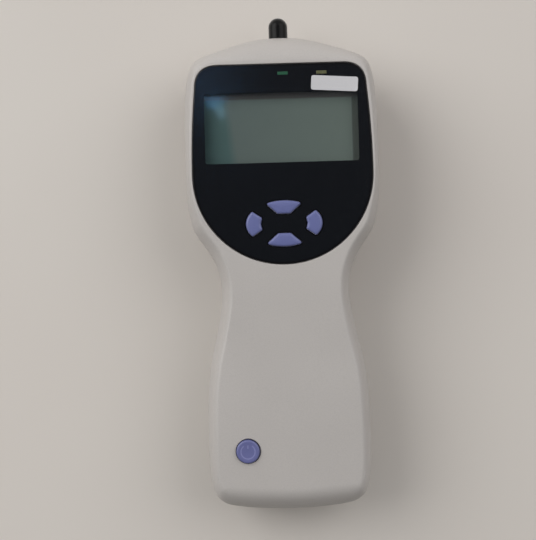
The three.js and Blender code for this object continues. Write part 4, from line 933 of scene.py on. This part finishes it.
mouth_rows = [(CAP_BORE, MOUTH + MOUTH_EDGE), (CAP_BORE + MOUTH_EDGE, MOUTH),
              (CAP_RADIUS - MOUTH_EDGE, MOUTH), (CAP_RADIUS, MOUTH + MOUTH_EDGE)]
cap_rows = dome(CAP_BORE)[::-1] + mouth_rows + dome(CAP_RADIUS)
finish_piece("ear_probe_cap", turned(cap_rows, z=PROBE_Z), cap_rubber, "probe_cap", "cap_plastic",
             "probe_cap")

# %% Nose cone and probe tip
cone_plastic = moulded_abs("moulded polycarbonate, dark", "#2B2C30", "#27282C", roughness=0.34, depth=0.02)
cone_low, cone_high = box_mm("nose_cone")
BASE, TIP = cone_low.y, cone_high.y
cone_rows = [(2.9, BASE), (3.65, BASE), (3.8, BASE + 0.15), (3.8, BASE + 2.85), (3.65, BASE + 3.1),
             (2.9, BASE + 3.5), (2.78, BASE + 3.75), (2.4, TIP - 0.5), (2.28, TIP - 0.15), (2.1, TIP),
             (1.7, TIP), (1.6, TIP - 0.1), (1.6, BASE + 4.5), (2.9, BASE + 3.0)]
cone = turned(cone_rows, z=PROBE_Z, closed=True)
finish_piece("nose_cone_moulding", cone, cone_plastic, "nose_cone", "dark_plastic", "nose_cone")
soft_silicone = gloss_plastic("moulded silicone, milky", "#CFCDC6", 0.45, mark=0.8, haze=0.1,
                              bump_strength=0.1, IOR=1.43, Subsurface_Weight=0.15)
tip_low, tip_high = box_mm("probe_tip")
tip_rows = [(0.45, tip_low.y), (1.3, tip_low.y), (1.3, tip_high.y - 0.2), (1.1, tip_high.y),
            (0.6, tip_high.y), (0.45, tip_high.y - 0.15)]
finish_piece("probe_tip_tube", turned(tip_rows, z=PROBE_Z, closed=True), soft_silicone, "casing", "silicone",
             "probe_tip")

# %% [markdown]
# ## Infrared window
# The results go to a printer by infrared light, through a deep red-black window in the foot end. Its
# outside follows the casing, so it is cut from a form that is the casing's own.

# %% Pane in the foot end
pane = solid(whole_form(0.12, 0, DEPTH))
combine(pane, "INTERSECT", foot_block(1, 0.25))
cut(pane, whole_form(3.4, WALL))
flange = solid(whole_form(2.5, WALL))
combine(flange, "INTERSECT", foot_block(0, 0.2))
cut(flange, whole_form(3.5, WALL))
combine(pane, "UNION", flange)
infrared_acrylic = gloss_plastic("infrared-pass acrylic", "#180A0E", 0.08, IOR=1.49)
finish_piece("infrared_pane", pane, infrared_acrylic, "casing", "black_acrylic", "infrared_window")

# %% [markdown]
# ## Cells
# Four AA cells lie in the handle. A cell is a drawn steel can in a printed sleeve, which is shrunk over
# its shoulders, with the plus pole standing out of a crimped seal.

# %% Sleeve of a cell, two plain colour bands
BAND = 0.0254  # metres from the start of the pattern to where it turns back
sleeve, tree, shader, place = start_material("printed shrink sleeve", Metallic=0.35, Coat_Weight=0.3,
                                             Coat_Roughness=0.2)
along = add_node(tree, "SeparateXYZ", Vector=place).outputs["Y"]
folded = add_node(tree, "Math", {"operation": "PINGPONG"}, n0=along, n1=BAND)
share = add_node(tree, "Math", {"operation": "MULTIPLY"}, n0=folded, n1=1 / BAND)
tint = add_node(tree, "ValToRGB", Fac=share, stops=[
    (0.0, "#20283F"), (0.46, "#20283F"), (0.48, "#A9783B"), (0.8, "#A9783B")])
marks = add_node(tree, "TexNoise", Vector=place, Scale=per_mm(3), Detail=3)
rough = add_node(tree, "MapRange", Value=marks, To_Min=0.24, To_Max=0.38)
feed(tree, shader, Base_Color=tint, Roughness=rough)


# %% Cells: sleeve and metal are one turned form with two materials
def cell(number, step):
    """The plus pole points to the head for a step of 1, and to the foot for -1."""
    low, high = box_mm(f"cell_{number}")
    x, _, z = (low + high) / 2
    back = low.y if step > 0 else high.y
    rows = [(0, 0), (5.2, 0.0), (5.5, 0.15), (5.9, 0.15), (6.2, 0.02), (6.9, 0.02), (7.2, 0.35), (7.25, 0.8),
            (7.25, 48.3), (7.15, 48.9), (6.7, 49.3), (5.6, 49.42), (5.3, 49.1), (3.4, 49.1), (3.1, 49.45),
            (2.6, 49.5), (2.55, 50.35), (2.35, 50.5), (0, 50.5)]
    shape = turned([(radius, back + step * along) for radius, along in rows], x=x, z=z, steps=48)
    for face in shape.faces:
        middle = face.calc_center_median()
        reach = abs(middle.y - back)
        radius = math.hypot(middle.x - x, middle.z - z)
        face.material_index = 0 if 0.1 < reach < 49.45 and radius > 5.75 else 1
    finish_piece(f"cell_aa_{number}", shape, [sleeve, nickel_steel], "casing", "cell_jacket",
                 f"cell_{number}")


for number, step in ((1, 1), (2, 1), (3, -1), (4, -1)):
    cell(number, step)
print("cells: 4")

# %% [markdown]
# ## Inside parts that keep their own shape
# The solids of the parts inside stay as they are and only get a real finish: a green solder mask over
# copper tracks, black glass-filled nylon, rubber, brass and milky silicone.

# %% Circuit board: solder mask over copper tracks
board_mask, tree, shader, place = start_material("solder mask over copper", IOR=1.5, Coat_Weight=0.2,
                                                 Coat_Roughness=0.25)
tracks = add_node(tree, "TexBrick", {"offset": 0.5}, Vector=place, Scale=per_mm(1),
                  Color1=linear("#1C5B36"), Color2=linear("#1F633C"), Mortar=linear("#2F8050"),
                  Mortar_Size=0.09, Brick_Width=5.0, Row_Height=1.27)
bump = add_node(tree, "Bump", Height=tracks.outputs["Fac"], Strength=0.4, Distance=0.00004)
marks = add_node(tree, "TexNoise", Vector=place, Scale=per_mm(1.2), Detail=2)
rough = add_node(tree, "MapRange", Value=marks, To_Min=0.3, To_Max=0.45)
feed(tree, shader, Base_Color=tracks.outputs["Color"], Roughness=rough, Normal=bump)

# %% Finishes for the solids that stay
black_nylon = moulded_abs("glass-filled nylon, black", "#232427", "#1E1F22", roughness=0.5, depth=0.08)
soft_rubber = moulded_abs("moulded rubber, black", "#2A2A2C", "#252527", roughness=0.7, depth=0.06)
milky_plastic = gloss_plastic("polycarbonate, milky", "#D9DAD6", 0.3, IOR=1.58, Subsurface_Weight=0.1)
pump_clear = gloss_plastic("polycarbonate tube, clear", "#A8B4B2", 0.06, IOR=1.58, Alpha=0.35)
kept = (
    (board_mask, ["main_board"]),
    (milky_plastic, ["backlight", "green_led", "yellow_led"]),
    (black_nylon, ["lcd_frame", "probe_body", "pump_base", "pump_piston", "pressure_sensor",
                   "infrared_transceiver", *[f"switch_body_{key}" for key in key_plans]]),
    (soft_rubber, ["probe_gasket", "piston_seal", *[f"switch_plunger_{key}" for key in key_plans]]),
    (zinc_steel, ["speaker", "pump_motor"]),
    (turned_brass, ["microphone", "pump_pinion"]),
    (pump_clear, ["pump_cylinder"]),
    (soft_silicone, ["pump_tube", "sensor_tube"]),
    (nickel_steel, ["contact_bridge", "contact_plus", "contact_minus"]),
)
for finish, names in kept:
    for name in names:
        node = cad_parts[name]
        node.data.materials.clear()
        node.data.materials.append(finish)
print("solids that keep their shape:", sum(len(names) for _, names in kept))

# %% [markdown]
# ## Table and light
# The instrument lies on a pale laminate table under broad ceiling light. Two large soft lamps stand for
# the ceiling, the stronger one from the upper left, and a weak sky fills the shadows. Three small cool
# lamps stand for the window whose bluish reflection lies on the upper left of the fascia.

# %% Pale table
table_top, tree, shader, place = start_material("laminate, pale warm grey", IOR=1.45)
slow = add_node(tree, "TexNoise", Vector=place, Scale=per_mm(160), Detail=2)
clouds = add_node(tree, "ValToRGB", stops=[(0.3, "#CFC9C3"), (0.7, "#D2CDC7")], Fac=slow)
fine = add_node(tree, "TexNoise", Vector=place, Scale=per_mm(1.2), Detail=3)
rough = add_node(tree, "MapRange", Value=fine, To_Min=0.55, To_Max=0.65)
feed(tree, shader, Base_Color=clouds, Roughness=rough)
TABLE_HALF = 12  # metres, so that its far edge shows in no view
table_shape = bmesh.new()
bmesh.ops.create_grid(table_shape, x_segments=1, y_segments=1, size=TABLE_HALF)
table = solid(table_shape)
table.name = "table"
table.data.materials.append(table_top)


# %% Lamps and sky
def soft_lamp(name, place, aim, size, power, colour):
    data = bpy.data.lights.new(name, "AREA")
    data.shape, data.size, data.energy, data.color = "DISK", size, power, linear(colour)[:3]
    lamp = new_object(name, data)
    lamp.location = place
    lamp.rotation_euler = (Vector(aim) - Vector(place)).to_track_quat("-Z", "Y").to_euler()


CASING_MIDDLE, FASCIA_LEFT = (0, 0, 0.02), (-0.02, 0.06, 0.04)
soft_lamp("ceiling_left", (-1.35, 0.74, 1.22), CASING_MIDDLE, 1.8, 23.5, "#FFFEFC")
soft_lamp("ceiling_right", (1.2, 0.68, 1.4), CASING_MIDDLE, 1.8, 11.2, "#FFFDFC")
soft_lamp("window_haze", (-0.078, 0.195, 0.64), FASCIA_LEFT, 0.05, 0.014, "#7E96C4")
soft_lamp("window_large", (-0.0555, 0.166, 0.64), FASCIA_LEFT, 0.023, 0.0095, "#5A9BD0")
soft_lamp("window_small", (-0.0492, 0.152, 0.64), FASCIA_LEFT, 0.009, 0.0015, "#A0D2F0")

# %% Sky: bright walls, dark straight above where the camera is held, darker towards the foot end
world = bpy.data.worlds.new("sky")
world.use_nodes = True
tree = world.node_tree
tree.nodes.clear()
towards = add_node(tree, "SeparateXYZ", Vector=add_node(tree, "TexCoord").outputs["Generated"])
height = add_node(tree, "ValToRGB", Fac=towards.outputs["Z"], stops=[
    (0.0, 0.6), (0.4, 0.85), (0.65, 1.2), (0.85, 1.2), (0.9, 0.8), (0.955, 0.1), (1.0, 0.05)])
side = add_node(tree, "MapRange", Value=towards.outputs["Y"], From_Min=-1, From_Max=0.3, To_Min=0.03,
                To_Max=0.66)
strength = add_node(tree, "Math", {"operation": "MULTIPLY"}, n0=height, n1=side)
light = add_node(tree, "Background", Color=linear("#F4F3F2"), Strength=strength)
add_node(tree, "OutputWorld", Surface=light)
bpy.context.scene.world = world
